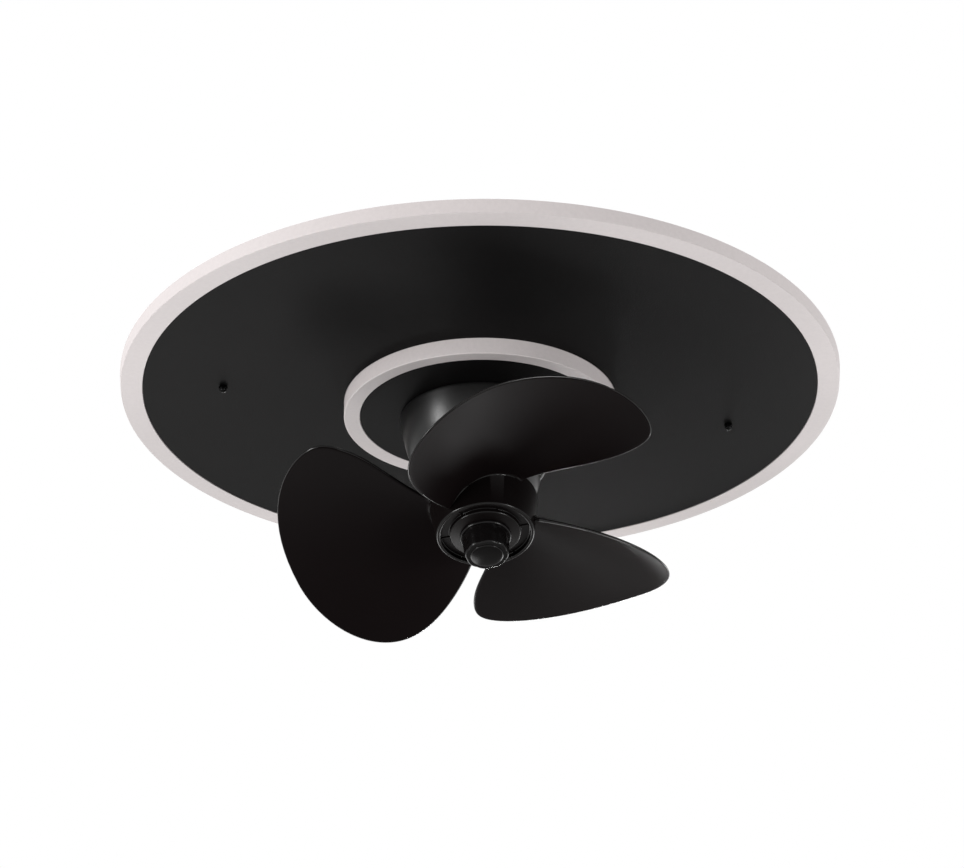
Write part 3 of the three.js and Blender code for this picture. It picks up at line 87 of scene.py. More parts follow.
DIFFUSER_WALL = 0.002
DIFFUSER_LIP = 0.012
INNER_FLANGE = 0.008
INNER_RIM_RADIUS = INNER_FLANGE_RADIUS - INNER_FLANGE
POST_BORE = 0.0093
STUD_HOLE = 0.0016

BRACKET_LENGTH = 0.16
BRACKET_WIDTH = 0.026
BRACKET_THICKNESS = 0.002
BRACKET_SLOT = (0.022, 0.005)
BRACKET_SLOT_X = 0.042

NUT_FLATS = 0.0055
NUT_HEX_HEIGHT = 0.0024
NUT_DOME_HEIGHT = 0.0026
NUT_DOME_INSET = 0.0002

DRUM_GAP = 0.001
DRUM_TOP = INNER_Z - DRUM_GAP
DRUM_HEIGHT = DRUM_TOP - PIVOT.z
DRUM_BULGE = 0.0016
DRUM_WALL = 0.0022
DRUM_WEB_TOP = -0.0473
DRUM_WEB = 0.0025
DRUM_LIP = 0.002
DRUM_BALL_GAP = 0.0012
BALL_RADIUS = 0.0413
DRUM_MOUTH = BALL_RADIUS + DRUM_BALL_GAP + DRUM_WALL

BALL_WALL = 0.002
BALL_FLAT = 0.0023
BALL_FRONT = BALL_RADIUS - BALL_FLAT
BALL_BACK = -0.015
BALL_BORE = 0.0046

HUB_REACH = 0.017
HUB_RIM = 0.0005
HUB_FACE = BALL_FRONT + HUB_REACH
HUB_RIM_FACE = HUB_FACE + HUB_RIM
HUB_LENGTH = 0.0297
HUB_BACK = HUB_RIM_FACE - HUB_LENGTH
HUB_TAPER = 0.004
HUB_WALL = 0.0022
HUB_BALL_GAP = 0.0036
HUB_BACK_RADIUS = math.sqrt(BALL_RADIUS ** 2 - HUB_BACK ** 2) + HUB_BALL_GAP + HUB_WALL
HUB_FRONT_RADIUS = HUB_BACK_RADIUS - HUB_TAPER
HUB_RIM_WIDTH = 0.0027
GROOVE_WIDTH = 0.0065
GROOVE_DEPTH = 0.003
GROOVE_OUTER = HUB_FRONT_RADIUS - HUB_RIM_WIDTH
GROOVE_INNER = GROOVE_OUTER - GROOVE_WIDTH
GROOVE_FLOOR = HUB_FACE - GROOVE_DEPTH
GROOVE_RIBS = 6
GROOVE_RIB_ANGLE = 20
GROOVE_RIB_WIDTH = 0.0012
HUB_WEB = 0.0024
HUB_NOSE_HEIGHT = 0.0012
HUB_WEB_BACK = GROOVE_FLOOR - HUB_WEB
HUB_NOSE = HUB_FACE + HUB_NOSE_HEIGHT
HUB_BORE = 0.0043
HUB_BOSS_RADIUS = 0.0103
HUB_BOSS_LENGTH = 0.0056
HUB_BOSS_BACK = HUB_WEB_BACK - HUB_BOSS_LENGTH

BLADES = 3
BLADE_TIP_ANGLE = 93.2
BLADE_LEAD_ANGLE = 56.1
BLADE_LEAD_SWEEP = 20.2
BLADE_SWEEP_RADIUS = 0.1043
BLADE_LEAD_CORNER = 0.0404
BLADE_LEAD_SQUARENESS = 8.1
BLADE_TRAIL_ANGLE = 145.7
BLADE_TRAIL_SWEEP = 22.9
BLADE_TRAIL_CORNER = 0.0872
BLADE_TRAIL_SQUARENESS = 4.1
BLADE_ROOT_SETBACK = 0.0257
BLADE_TIP_SETBACK = 0.0284
BLADE_ROOT_DROP = 0.0215
BLADE_TIP_DROP = 0.0591
BLADE_CAMBER = 2.5
BLADE_ROOT_THICKNESS = 0.0024
BLADE_TIP_THICKNESS = 0.0016

KNOB_LENGTH = 0.0166
KNOB_FLANGE = 0.002
KNOB_BACK = HUB_NOSE + CLEARANCE
KNOB_FRONT = KNOB_BACK + KNOB_LENGTH
KNOB_FLANGE_RADIUS = 0.0174
KNOB_FLANGE_FRONT = KNOB_BACK + KNOB_FLANGE
KNOB_BACK_RADIUS = 0.0162
KNOB_FRONT_RADIUS = 0.0148
KNOB_DOME_RADIUS = 0.0111
KNOB_DOME_HEIGHT = 0.0016
KNOB_LOBES = 8
KNOB_LOBE_SHARE = 0.63
KNOB_LOBE_ANGLE = 4.4
KNOB_THREAD_RADIUS = 0.0043
KNOB_THREAD_DEPTH = 0.012

# ---- Sizes where the drawn pieces are finer than the CAD's, or differ from them by a little ----

OUTER_PROUD = 0.0004  # the outer band stands this far below its cover
INNER_DRAFT = 0  # the inner ring's side is drawn upright
INNER_CROWN = 0.0011  # the inner band bulges this far at its rim
INNER_COVER_TRIM = 0.0006  # the inner cover is this much smaller in radius
GROOVE_RIB_HEIGHT = 0.0006  # 0.4 mm lower than the CAD's
BLADE_TIP = 0.1409  # 0.4 mm further out than the CAD's
BLADE_EDGE_DEPTH = 1.6  # how deep a blade's edge is rounded, in half thicknesses
BLADE_ROOT_FILLET = 0.0011
BLADE_CENTRE = (93, 0.085)  # angle in degrees and radius, where the rings of a blade's faces close
COVER_EDGE = 0.0002
BRACKET_EDGE = 0.0003
NUT_EDGE = 0.0003
BAR_EDGE_SHARE = 0.2  # a bar's softened edge, as a share of its thinner side
PAN_BEND = 0.003
DRUM_EDGE = 0.0005
BALL_EDGE_HEIGHT = 0.0006  # where the ball's surface ends, back from its flat front
BALL_EDGE = [(0.0004, 0.0001), (0.0012, 0)]  # inward and back from the front's corner
GRIP_EDGE = 0.0011
GRIP_SINK = 0.0004  # how far the grip starts inside its flange
DOME_SINK = 0.0006  # how far the knob's dome starts inside the grip
DOME_STEP = 0.0002
OVERLAP = 0.001  # how far a cutter, or a bar that is joined on, runs past a face

# ---- Where the fan's finishes change ----

HUB_FINISH_REACH = 0.0004  # the hub's finish ends this far outside its wall
ROUNDED_COSINES = (0.3, 0.94)  # a rounded edge's faces lie between these, as cosines to the axis
KNOB_FRONT_COSINE = 0.94  # the knob's front faces look forward more squarely than this
BLADE_FACE_COSINE = 0.9  # a blade's faces look along its normal more squarely than this
BLADE_ANGLE_GUARD = 4  # degrees past a blade's edges that still count as the blade
LEAD_ROOT_REACH = 0.035  # how far from the hub a blade's leading edge keeps the hub's finish
TRAIL_ROOT_REACH = 0.005  # the same for its trailing edge

# ---- Fineness ----

DISC_SEGMENTS = 288
ROUND_SEGMENTS = 160
SMALL_SEGMENTS = 48
FILLET_STEPS = 6
FILLET_SHARE = 0.45  # the most that a fillet takes of the straight beside it
EDGE_GUARD = 0.00012  # distance of the guard ring beside a fillet, which keeps a flat face's shading flat
SHARP_ANGLE = math.radians(40)
MERGE_DISTANCE = 1e-7

# ---- Studio ----

PANEL_DISTANCE = 1.9
PANELS = {  # azimuth, elevation, power in watts, side in metres
    "left_front": (-66, -20, 18, 0.5),
    "left_level": (-71, 3, 12, 0.4),
    "right_front": (42, -16, 16, 0.5),
    "right_back": (137, -27, 11, 0.7),
    "left_back": (-168, -43, 13, 0.8),
    "back_level": (165, 3, 10, 0.3),
}
SKY_POWER = 1.6  # soft light from straight above, on the floor and the pan
SKY_SPREAD = math.radians(90)
ROOM_LEVEL = 0.23  # the room's even light on matt surfaces, where 1 is white
ROOM_HEIGHT = 2.4
FLOOR_HALF = 60  # half the floor's side, so wide that its end doesn't show under the light

# ---- The head's frame: X is the light's own, Z runs along the airflow from the pivot ----

HEAD = Matrix.Translation(PIVOT) @ Matrix((
    Vector((1, 0, 0)),
    AIRFLOW.cross(Vector((1, 0, 0))),
    AIRFLOW,
)).transposed().to_4x4()


# ---- Mesh helpers ----

def fillet(corners):
    """A closed outline of (radius, z, fillet radius) corners as (radius, z) points.

    A guard point stands beside each end of an arc.
    """
    points = []
    count = len(corners)
    for i, (x, y, size) in enumerate(corners):
        here = Vector((x, y))
        before = Vector(corners[i - 1][:2]) - here
        after = Vector(corners[(i + 1) % count][:2]) - here
        turn = before.angle(after)
        if size <= 0 or turn > math.pi - 0.01:
            points.append(here)
            continue
        reach = size / math.tan(turn / 2)
        reach = min(reach, FILLET_SHARE * before.length, FILLET_SHARE * after.length)
        size = reach * math.tan(turn / 2)
        centre = here + (before.normalized() + after.normalized()).normalized() * (size / math.sin(turn / 2))
        start = here + before.normalized() * reach
        end = here + after.normalized() * reach
        first = start - centre
        sweep = first.angle_signed(end - centre)
        points.append(start + before.normalized() * EDGE_GUARD)
        for step in range(FILLET_STEPS + 1):
            arm = first.copy()
            arm.rotate(Matrix.Rotation(-sweep * step / FILLET_STEPS, 2))
            points.append(centre + arm)
        points.append(end + after.normalized() * EDGE_GUARD)
    return [tuple(point) for point in points]


def arc(radius, start, end, steps):
    """Points (radius * cos, radius * sin) from one angle to another, in radians."""
    angles = [start + (end - start) * k / steps for k in range(steps + 1)]
    return [(radius * math.cos(a), radius * math.sin(a)) for a in angles]


def lathe(profile, segments, place=None):
    """A mesh revolved about Z from a closed outline of (radius, z) points. Those on the axis stay single."""
    bm = bmesh.new()
    rings = []
    for radius, z in profile:
        if radius < MERGE_DISTANCE:
            rings.append([bm.verts.new((0, 0, z))] * segments)
            continue
        angles = [2 * math.pi * k / segments for k in range(segments)]
        rings.append([bm.verts.new((radius * math.cos(a), radius * math.sin(a), z)) for a in angles])
    for i, ring in enumerate(rings):
        after = rings[(i + 1) % len(rings)]
        for k in range(segments):
            j = (k + 1) % segments
            corners = []
            for vert in (ring[k], ring[j], after[j], after[k]):
                if vert not in corners:
                    corners.append(vert)
            if len(corners) > 2:
                bm.faces.new(corners)
    return closed(bm, place)


def closed(bm, place=None):
    """The finished mesh of a bmesh, placed, with its faces outward."""
    if place is not None:
        bm.transform(place)
    bmesh.ops.recalc_face_normals(bm, faces=bm.faces)
    mesh = bpy.data.meshes.new("shape")
    bm.to_mesh(mesh)
    bm.free()
    return mesh


def piece(name, mesh, body, slot, *nodes):
    """A smooth piece that rides on a CAD body, stands for its nodes and takes a slot's material."""
    obj = bpy.data.objects.new(name, mesh)
    mesh.name = name
    bpy.context.scene.collection.objects.link(obj)
    mesh.shade_smooth()
    mesh.set_sharp_from_angle(angle=SHARP_ANGLE)
    mesh.materials.clear()
    mesh.materials.append(MATERIALS[slot])
    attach(obj, body)
    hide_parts(*nodes)
    return obj


def boolean(mesh, others, operation):
    """The mesh joined with, or cut by, each of the others in turn."""
    whole = bpy.data.objects.new("whole", mesh)
    bpy.context.scene.collection.objects.link(whole)
    tools = []
    for other in others:
        tool = bpy.data.objects.new("tool", other)
        bpy.context.scene.collection.objects.link(tool)
        tools.append(tool)
        modifier = whole.modifiers.new("boolean", "BOOLEAN")
        modifier.operation = operation
        modifier.solver = "EXACT"
        modifier.object = tool
    graph = bpy.context.evaluated_depsgraph_get()
    result = bpy.data.meshes.new_from_object(whole.evaluated_get(graph))
    for obj in [whole, *tools]:
        bpy.data.objects.remove(obj)
    return result


def rod(radius, low, high, x=0.0, y=0.0, segments=SMALL_SEGMENTS):
    """A plain cylinder along Z, used to cut holes."""
    place = Matrix.Translation((x, y, 0))
    return lathe([(0, low), (radius, low), (radius, high), (0, high)], segments, place)


def bar(length, width, low, high, place):
    """A box centred on Z, with softened edges."""
    bm = bmesh.new()
    bmesh.ops.create_cube(bm, size=1)
    scale = Matrix.Diagonal((length, width, high - low, 1))
    bm.transform(Matrix.Translation((0, 0, (low + high) / 2)) @ scale)
    edge = BAR_EDGE_SHARE * min(width, high - low)
    bmesh.ops.bevel(bm, geom=bm.edges[:], offset=edge, segments=2, affect="EDGES")
    return closed(bm, place)


def turned(angle):
    return Matrix.Rotation(math.radians(angle), 4, "Z")


# ---- Materials ----

def textured(name, color, roughness, patch=40.0, spread=0.06, gloss_spread=0.06,
             grain=1500.0, depth=0.00001, **sockets):
    """A surface whose colour and gloss drift in soft patches, with a fine grain in its bump.

    patch and grain are noise scales per metre; spread is the drift of colour over the colour itself.
    """
    material = bpy.data.materials.new(name)
    material.use_nodes = True
    nodes = material.node_tree.nodes
    links = material.node_tree.links
    shader = nodes["Principled BSDF"]
    for socket, value in sockets.items():
        shader.inputs[socket.replace("_", " ")].default_value = value

    place = nodes.new("ShaderNodeTexCoord")
    drift = nodes.new("ShaderNodeTexNoise")
    drift.inputs["Scale"].default_value = patch
    drift.inputs["Detail"].default_value = 3
    links.new(place.outputs["Object"], drift.inputs["Vector"])

    tint = nodes.new("ShaderNodeMix")
    tint.data_type = "RGBA"
    tint.inputs["A"].default_value = (*[channel * (1 - spread) for channel in color], 1)
    tint.inputs["B"].default_value = (*[channel * (1 + spread) for channel in color], 1)
    links.new(drift.outputs["Fac"], tint.inputs["Factor"])
    links.new(tint.outputs["Result"], shader.inputs["Base Color"])

    gloss = nodes.new("ShaderNodeMapRange")
    gloss.inputs["To Min"].default_value = roughness * (1 - gloss_spread)
    gloss.inputs["To Max"].default_value = roughness * (1 + gloss_spread)
    links.new(drift.outputs["Fac"], gloss.inputs["Value"])
    links.new(gloss.outputs["Result"], shader.inputs["Roughness"])

    fine = nodes.new("ShaderNodeTexNoise")
    fine.inputs["Scale"].default_value = grain
    fine.inputs["Detail"].default_value = 2
    links.new(place.outputs["Object"], fine.inputs["Vector"])
    bump = nodes.new("ShaderNodeBump")
    bump.inputs["Distance"].default_value = depth
    links.new(fine.outputs["Fac"], bump.inputs["Height"])
    links.new(bump.outputs["Normal"], shader.inputs["Normal"])
    return material


# The room is white in every reflection, so most blacks' specular levels are set far below real plastic's.
MATERIALS = {
    "opal_acrylic": textured("opal_acrylic", (0.66, 0.609, 0.605), 0.5, patch=420, spread=0.06,
                             grain=1400, depth=0.00003, IOR=1.49),
    "black_paint": textured("black_paint", (0.0056, 0.0053, 0.0054), 0.45, patch=25, spread=0.1,
                            grain=850, depth=0.00009, Specular_IOR_Level=0.026),
    "black_satin": textured("black_satin", (0.003, 0.0029, 0.0029), 0.32, patch=60,
                            grain=1500, depth=0.00005, Specular_IOR_Level=0.45),
    "black_gloss": textured("black_gloss", (0.003, 0.0025, 0.0025), 0.2, patch=90, gloss_spread=0.15,
                            grain=900, depth=0.000002, Specular_IOR_Level=0.06),
    "nut_gloss": textured("nut_gloss", (0.0015, 0.0015, 0.0015), 0.08, patch=300,
                          grain=3000, depth=0.000002, Specular_IOR_Level=0.09),
    "blade_plastic": textured("blade_plastic", (0.0052, 0.0036, 0.0037), 0.42, patch=30, spread=0.08,
                              grain=1600, depth=0.000004, Specular_IOR_Level=0.02),
    "hub_plastic": textured("hub_plastic", (0.004, 0.0029, 0.0029), 0.34, patch=60, spread=0.08,
                            grain=1600, depth=0.000002, Specular_IOR_Level=0.07),
    "hub_edge": textured("hub_edge", (0.004, 0.0034, 0.0034), 0.2, patch=60, spread=0.08,
                         grain=1600, depth=0.000002, Specular_IOR_Level=0.25),
    "blade_edge": textured("blade_edge", (0.004, 0.0034, 0.0034), 0.2, patch=60, spread=0.08,
                           grain=1600, depth=0.000002, Specular_IOR_Level=0.35),
    "zinc_steel": textured("zinc_steel", (0.55, 0.56, 0.57), 0.34, patch=220, spread=0.12,
                           gloss_spread=0.25, grain=900, depth=0.000006, Metallic=1.0),
    "white_paint": textured("white_paint", (0.76, 0.76, 0.75), 0.45, patch=30, spread=0.02,
                            grain=1500, depth=0.00001),
    "grey_plastic": textured("grey_plastic", (0.58, 0.58, 0.57), 0.55, patch=80, spread=0.03,
                             grain=1200, depth=0.00002),
    "led_board": textured("led_board", (0.86, 0.84, 0.78), 0.5, patch=120, spread=0.03,
                          grain=1200, depth=0.00001),
    "nylon": textured("nylon", (0.78, 0.75, 0.68), 0.5, patch=200, spread=0.04,
                      grain=1500, depth=0.00001),
    "copper_winding": textured("copper_winding", (0.48, 0.2, 0.09), 0.4, patch=900, spread=0.25,
                               grain=1400, depth=0.0002, Metallic=0.7),
    "magnet": textured("magnet", (0.06, 0.06, 0.065), 0.5, patch=300, spread=0.2,
                       grain=1500, depth=0.00002, Metallic=0.5),
}


# ---- Light ----

def diffuser_corners(rim_radius, draft, top, face, crown, proud, cover_edge, cover_thickness):
    """The opal tray's section: side wall, the band that shows, and the lip behind the cover.

    The band stands below the cover by proud at its inner edge and by crown at the rim.
    """
    rebate = cover_edge + CLEARANCE
    lip = cover_edge - DIFFUSER_LIP
    rebate_z = face + cover_thickness + CLEARANCE
    return [
        (rim_radius, top, 0.0004),
        (rim_radius - draft, face - crown, 0.0006),
        (rebate, face - proud, 0.0003),
        (rebate, rebate_z, 0),
        (lip, rebate_z, 0.0003),
        (lip, rebate_z + DIFFUSER_WALL, 0.0003),
        (rebate + DIFFUSER_WALL, rebate_z + DIFFUSER_WALL, 0),
        (rebate + DIFFUSER_WALL, face + DIFFUSER_WALL, 0),
        (rim_radius - draft - DIFFUSER_WALL, face + DIFFUSER_WALL, 0),
        (rim_radius - DIFFUSER_WALL, top, 0.0004),
    ]


def add_diffusers():
    outer = diffuser_corners(
        RIM_RADIUS, RIM_DRAFT, RIM_TOP, COVER_Z, OUTER_PROUD, OUTER_PROUD,
        COVER_RADIUS, COVER_BACK - COVER_Z)
    mesh = lathe(fillet(outer), DISC_SEGMENTS)
    piece("outer_diffuser_shell", mesh, "light", "opal_acrylic", "outer_diffuser")

    inner = diffuser_corners(
        INNER_RIM_RADIUS, INNER_DRAFT, INNER_FLANGE_TOP, INNER_Z, INNER_CROWN, 0,
        INNER_COVER_RADIUS - INNER_COVER_TRIM, INNER_BACK - INNER_Z)
    flange = [
        (INNER_FLANGE_RADIUS, INNER_FLANGE_TOP, 0.0003),
        (INNER_FLANGE_RADIUS, INNER_FLANGE_TOP - DIFFUSER_WALL, 0.0003),
        (INNER_RIM_RADIUS, INNER_FLANGE_TOP - DIFFUSER_WALL, 0.0003),
    ]
    mesh = lathe(fillet(flange + inner[1:]), ROUND_SEGMENTS)
    piece("inner_diffuser_shell", mesh, "light", "opal_acrylic", "inner_diffuser")


def add_covers():
    outer = fillet([
        (INNER_RIM_RADIUS + CLEARANCE, COVER_Z, COVER_EDGE),
        (COVER_RADIUS, COVER_Z, COVER_EDGE),
        (COVER_RADIUS, COVER_BACK, COVER_EDGE),
        (INNER_RIM_RADIUS + CLEARANCE, COVER_BACK, COVER_EDGE),
    ])
    low, high = COVER_Z - OVERLAP, COVER_BACK + OVERLAP
    holes = [rod(STUD_HOLE, low, high, x=side * NUT_X) for side in (-1, 1)]
    mesh = boolean(lathe(outer, DISC_SEGMENTS), holes, "DIFFERENCE")
    piece("outer_cover_plate", mesh, "light", "black_paint", "outer_cover")

    inner = fillet([
        (POST_BORE, INNER_Z, COVER_EDGE),
        (INNER_COVER_RADIUS - INNER_COVER_TRIM, INNER_Z, COVER_EDGE),
        (INNER_COVER_RADIUS - INNER_COVER_TRIM, INNER_BACK, COVER_EDGE),
        (POST_BORE, INNER_BACK, COVER_EDGE),
    ])
    piece("inner_cover_plate", lathe(inner, ROUND_SEGMENTS), "light", "black_paint", "inner_cover")


def add_pan():
    top = PAN_WALL_FOOT - PAN_WALL_DRAFT
    flange_z = PAN_FOOT + PAN_SHEET
    corners = [
        (0, PAN_TOP, 0),
        (top, PAN_TOP, PAN_BEND),
        (PAN_WALL_FOOT, flange_z, PAN_BEND - PAN_SHEET),
        (PAN_RADIUS, flange_z, 0.0002),
        (PAN_RADIUS, PAN_FOOT, 0.0002),
        (PAN_WALL_FOOT - PAN_SHEET, PAN_FOOT, PAN_BEND),
        (top - PAN_SHEET, PAN_TOP - PAN_SHEET, PAN_BEND - PAN_SHEET),
        (0, PAN_TOP - PAN_SHEET, 0),
    ]
    low, high = PAN_TOP - PAN_SHEET - OVERLAP, PAN_TOP + OVERLAP
    holes = [
        rod(CABLE_HOLE_RADIUS, low, high, y=CABLE_HOLE_Y),
        rod(PAN_SCREW_HOLE, low, high, x=-PAN_SCREW_X),
        rod(PAN_SCREW_HOLE, low, high, x=PAN_SCREW_X),
    ]
    mesh = boolean(lathe(fillet(corners), DISC_SEGMENTS), holes, "DIFFERENCE")
    piece("base_pan_shell", mesh, "light", "white_paint", "base_pan")


def slot_outline(length, width, x=0.0, steps=24):
    """Points round a slot with half-round ends, along X."""
    reach = (length - width) / 2
    right = [(x + reach + px, py) for px, py in arc(width / 2, -math.pi / 2, math.pi / 2, steps)]
    left = [(x - reach + px, py) for px, py in arc(width / 2, math.pi / 2, 1.5 * math.pi, steps)]
    return right + left


def plate(outlines, low, high, edge):
    """A flat plate from an outline and its holes, with rounded edges."""
    curve = bpy.data.curves.new("plate", "CURVE")
    curve.dimensions = "2D"
    curve.fill_mode = "BOTH"
    curve.extrude = (high - low) / 2 - edge
    curve.bevel_depth = edge
    curve.bevel_resolution = 2
    curve.offset = -edge
    for outline in outlines:
        spline = curve.splines.new("POLY")
        spline.points.add(len(outline) - 1)
        for point, (x, y) in zip(spline.points, outline):
            point.co = (x, y, 0, 1)
        spline.use_cyclic_u = True
    obj = bpy.data.objects.new("plate", curve)
    bpy.context.scene.collection.objects.link(obj)
    graph = bpy.context.evaluated_depsgraph_get()
    mesh = bpy.data.meshes.new_from_object(obj.evaluated_get(graph))
    bpy.data.objects.remove(obj)
    bm = bmesh.new()
    bm.from_mesh(mesh)
    bmesh.ops.remove_doubles(bm, verts=bm.verts, dist=MERGE_DISTANCE)
    return closed(bm, Matrix.Translation((0, 0, (low + high) / 2)))


def add_bracket():
    outlines = [slot_outline(BRACKET_LENGTH, BRACKET_WIDTH)]
    for side in (-1, 1):
        outlines.append(slot_outline(*BRACKET_SLOT, x=side * BRACKET_SLOT_X, steps=10))
        hole = 2 * PAN_SCREW_HOLE
        outlines.append(slot_outline(hole, hole, x=side * PAN_SCREW_X, steps=10))
    mesh = plate(outlines, -BRACKET_THICKNESS, 0, BRACKET_EDGE)
    piece("ceiling_bracket_strap", mesh, "light", "zinc_steel", "ceiling_bracket")


def add_cap_nuts():
    """A short hexagon with softened edges under the cover, and the dome below it."""
    top = COVER_Z - CLEARANCE
    shoulder = top - NUT_HEX_HEIGHT
    corner = NUT_FLATS / math.sqrt(3)
    dome_radius = NUT_FLATS / 2 - NUT_DOME_INSET
    quarter = arc(dome_radius, 0, math.pi / 2, 12)
    dome = [(r, shoulder - h * NUT_DOME_HEIGHT / dome_radius) for r, h in quarter]
    dome[-1] = (0, dome[-1][1])
    for name, side in (("left", -1), ("right", 1)):
        place = Matrix.Translation((side * NUT_X, 0, 0))
        bm = bmesh.new()
        bmesh.ops.create_cone(bm, cap_ends=True, segments=6, radius1=corner, radius2=corner,
                              depth=NUT_HEX_HEIGHT, matrix=Matrix.Translation((0, 0, (top + shoulder) / 2)))
        bmesh.ops.bevel(bm, geom=bm.edges[:], offset=NUT_EDGE, segments=3, affect="EDGES")
        hexagon = closed(bm, place @ turned(30))
        inside = top - NUT_HEX_HEIGHT / 2
        cap = lathe([(0, inside), (dome_radius, inside), *dome], SMALL_SEGMENTS, place)
        bore = rod(STUD_HOLE, shoulder, top + OVERLAP, x=side * NUT_X)
        mesh = boolean(boolean(hexagon, [cap], "UNION"), [bore], "DIFFERENCE")
        piece(f"cap_nut_{name}_fine", mesh, "light", "nut_gloss", f"cap_nut_{name}")


# ---- Drum and ball ----

def drum_side(inset, steps=24):
    """The drum's bowed taper as (radius, z) points from its top edge to the start of the lip."""
    top = Vector((DRUM_TOP_RADIUS - inset, DRUM_TOP))
    bottom = Vector((DRUM_MOUTH - inset, PIVOT.z + DRUM_LIP))
    middle = Vector(((top.x + bottom.x) / 2 + 2 * DRUM_BULGE, bottom.y + DRUM_HEIGHT / 3))
    points = []
    for k in range(steps + 1):
        t = k / steps
        points.append(tuple((1 - t) ** 2 * top + 2 * t * (1 - t) * middle + t ** 2 * bottom))
    return points


def radius_at(outline, z):
    """Radius of a falling outline at a height."""
    for (r0, z0), (r1, z1) in zip(outline, outline[1:]):
        if z1 <= z <= z0:
            return r0 + (r1 - r0) * (z0 - z) / (z0 - z1)
    return outline[-1][0]


def add_drum():
    outer = drum_side(0)
    inner = drum_side(DRUM_WALL)
    web_under = DRUM_WEB_TOP - DRUM_WEB
    rim = Vector((outer[0][0] - DRUM_EDGE, DRUM_TOP - DRUM_EDGE))
    top = [(rim.x + x, rim.y + y) for x, y in arc(DRUM_EDGE, math.pi / 2, 0, 5)]
    side = [point for point in outer if point[1] < DRUM_TOP - DRUM_EDGE]
    lip = [(DRUM_MOUTH - DRUM_LIP + x, PIVOT.z + DRUM_LIP + y) for x, y in arc(DRUM_LIP, 0, -math.pi / 2, 8)]
    below = [point for point in inner if point[1] < web_under]
    above = [point for point in inner if point[1] > DRUM_WEB_TOP]
    profile = [
        *top, *side, *lip[1:],
        (DRUM_MOUTH - DRUM_WALL, PIVOT.z),
        *reversed(below),
        (radius_at(inner, web_under), web_under),
        (POST_BORE, web_under),
        (POST_BORE, DRUM_WEB_TOP),
        (radius_at(inner, DRUM_WEB_TOP), DRUM_WEB_TOP),
        *reversed(above),
    ]
    piece("drum_case", lathe(profile, ROUND_SEGMENTS), "swivel", "black_satin", "drum_shell")


def add_ball():
    start, end = BALL_BACK, BALL_FRONT - BALL_EDGE_HEIGHT
    outer = arc(BALL_RADIUS, math.asin(start / BALL_RADIUS), math.asin(end / BALL_RADIUS), 40)
    inner_radius = BALL_RADIUS - BALL_WALL
    inner_front = BALL_FRONT - BALL_WALL
    inner = arc(inner_radius, math.asin(inner_front / inner_radius), math.asin(start / inner_radius), 32)
    rim = math.sqrt(BALL_RADIUS ** 2 - BALL_FRONT ** 2)
    profile = [
        *outer,
        *[(rim - inward, BALL_FRONT - back) for inward, back in BALL_EDGE],
        (BALL_BORE, BALL_FRONT),
        (BALL_BORE, inner_front),
        *inner,
    ]
    piece("ball_case", lathe(profile, ROUND_SEGMENTS, HEAD), "head", "black_satin", "ball_housing")


# ---- Propeller ----

def share_of(value, low, high):
    return min(max((value - low) / (high - low), 0.0), 1.0)


def mix(a, b, share):
    return a + (b - a) * share


def towards_tip(angle, radius, corner, squareness):
    """Rounds an edge over to the tip's angle within the last stretch of the blade, as a superellipse."""
    into = share_of(radius, BLADE_TIP - corner, BLADE_TIP)
    return angle + (BLADE_TIP_ANGLE - angle) * (1 - math.sqrt(1 - into ** squareness))


def blade_edges(radius):
    """Plain leading and trailing angles of a blade at a radius, in degrees, before its tip is rounded."""
    along = (radius - HUB_FRONT_RADIUS) / (BLADE_TIP - HUB_FRONT_RADIUS)
    swing = (radius - BLADE_SWEEP_RADIUS) / (HUB_FRONT_RADIUS - BLADE_SWEEP_RADIUS)
    lead = BLADE_LEAD_ANGLE - BLADE_LEAD_SWEEP * (1 - swing ** 2)
    trail = BLADE_TRAIL_ANGLE - BLADE_TRAIL_SWEEP * along
    return lead, trail


def blade_middle(angle, radius):
    """A point of the blade's middle surface, in the head's frame."""
    lead, trail = blade_edges(radius)
    along = (radius - HUB_FRONT_RADIUS) / (BLADE_TIP - HUB_FRONT_RADIUS)
    drop = mix(BLADE_ROOT_DROP, BLADE_TIP_DROP, along)
    share = max((angle - lead) / (trail - lead), 0)
    setback = mix(BLADE_ROOT_SETBACK, BLADE_TIP_SETBACK, along ** 2)
    height = HUB_FACE - setback + drop * share ** BLADE_CAMBER
    turn = math.radians(angle)
    return Vector((radius * math.cos(turn), radius * math.sin(turn), height))


def hub_radius(height):
    return HUB_FRONT_RADIUS + HUB_TAPER * (HUB_RIM_FACE - height) / HUB_LENGTH


def root_radius(angle):
    """Where a blade ends, in the middle of the hub's wall."""
    radius = HUB_FRONT_RADIUS
    for _ in range(4):
        radius = hub_radius(blade_middle(angle, radius).z) - HUB_WALL / 2
    return radius


def blade_outline(steps=72, root_steps=20):
    """The blade's edge as (angle, radius): out along the lead, back along the trail, and round the root."""
    lead_root = root_radius(blade_edges(HUB_FRONT_RADIUS)[0])
    trail_root = root_radius(blade_edges(HUB_FRONT_RADIUS)[1])
    outline = []
    for k in range(steps + 1):
        radius = mix(lead_root, BLADE_TIP, math.sin(k / steps * math.pi / 2))
        lead = blade_edges(radius)[0]
        outline.append((towards_tip(lead, radius, BLADE_LEAD_CORNER, BLADE_LEAD_SQUARENESS), radius))
    for k in range(1, steps + 1):
        radius = mix(trail_root, BLADE_TIP, math.cos(k / steps * math.pi / 2))
        trail = blade_edges(radius)[1]
        outline.append((towards_tip(trail, radius, BLADE_TRAIL_CORNER, BLADE_TRAIL_SQUARENESS), radius))
    start, end = outline[-1][0], outline[0][0]
    for k in range(1, root_steps):
        angle = mix(start, end, k / root_steps)
        outline.append((angle, root_radius(angle)))
    return outline


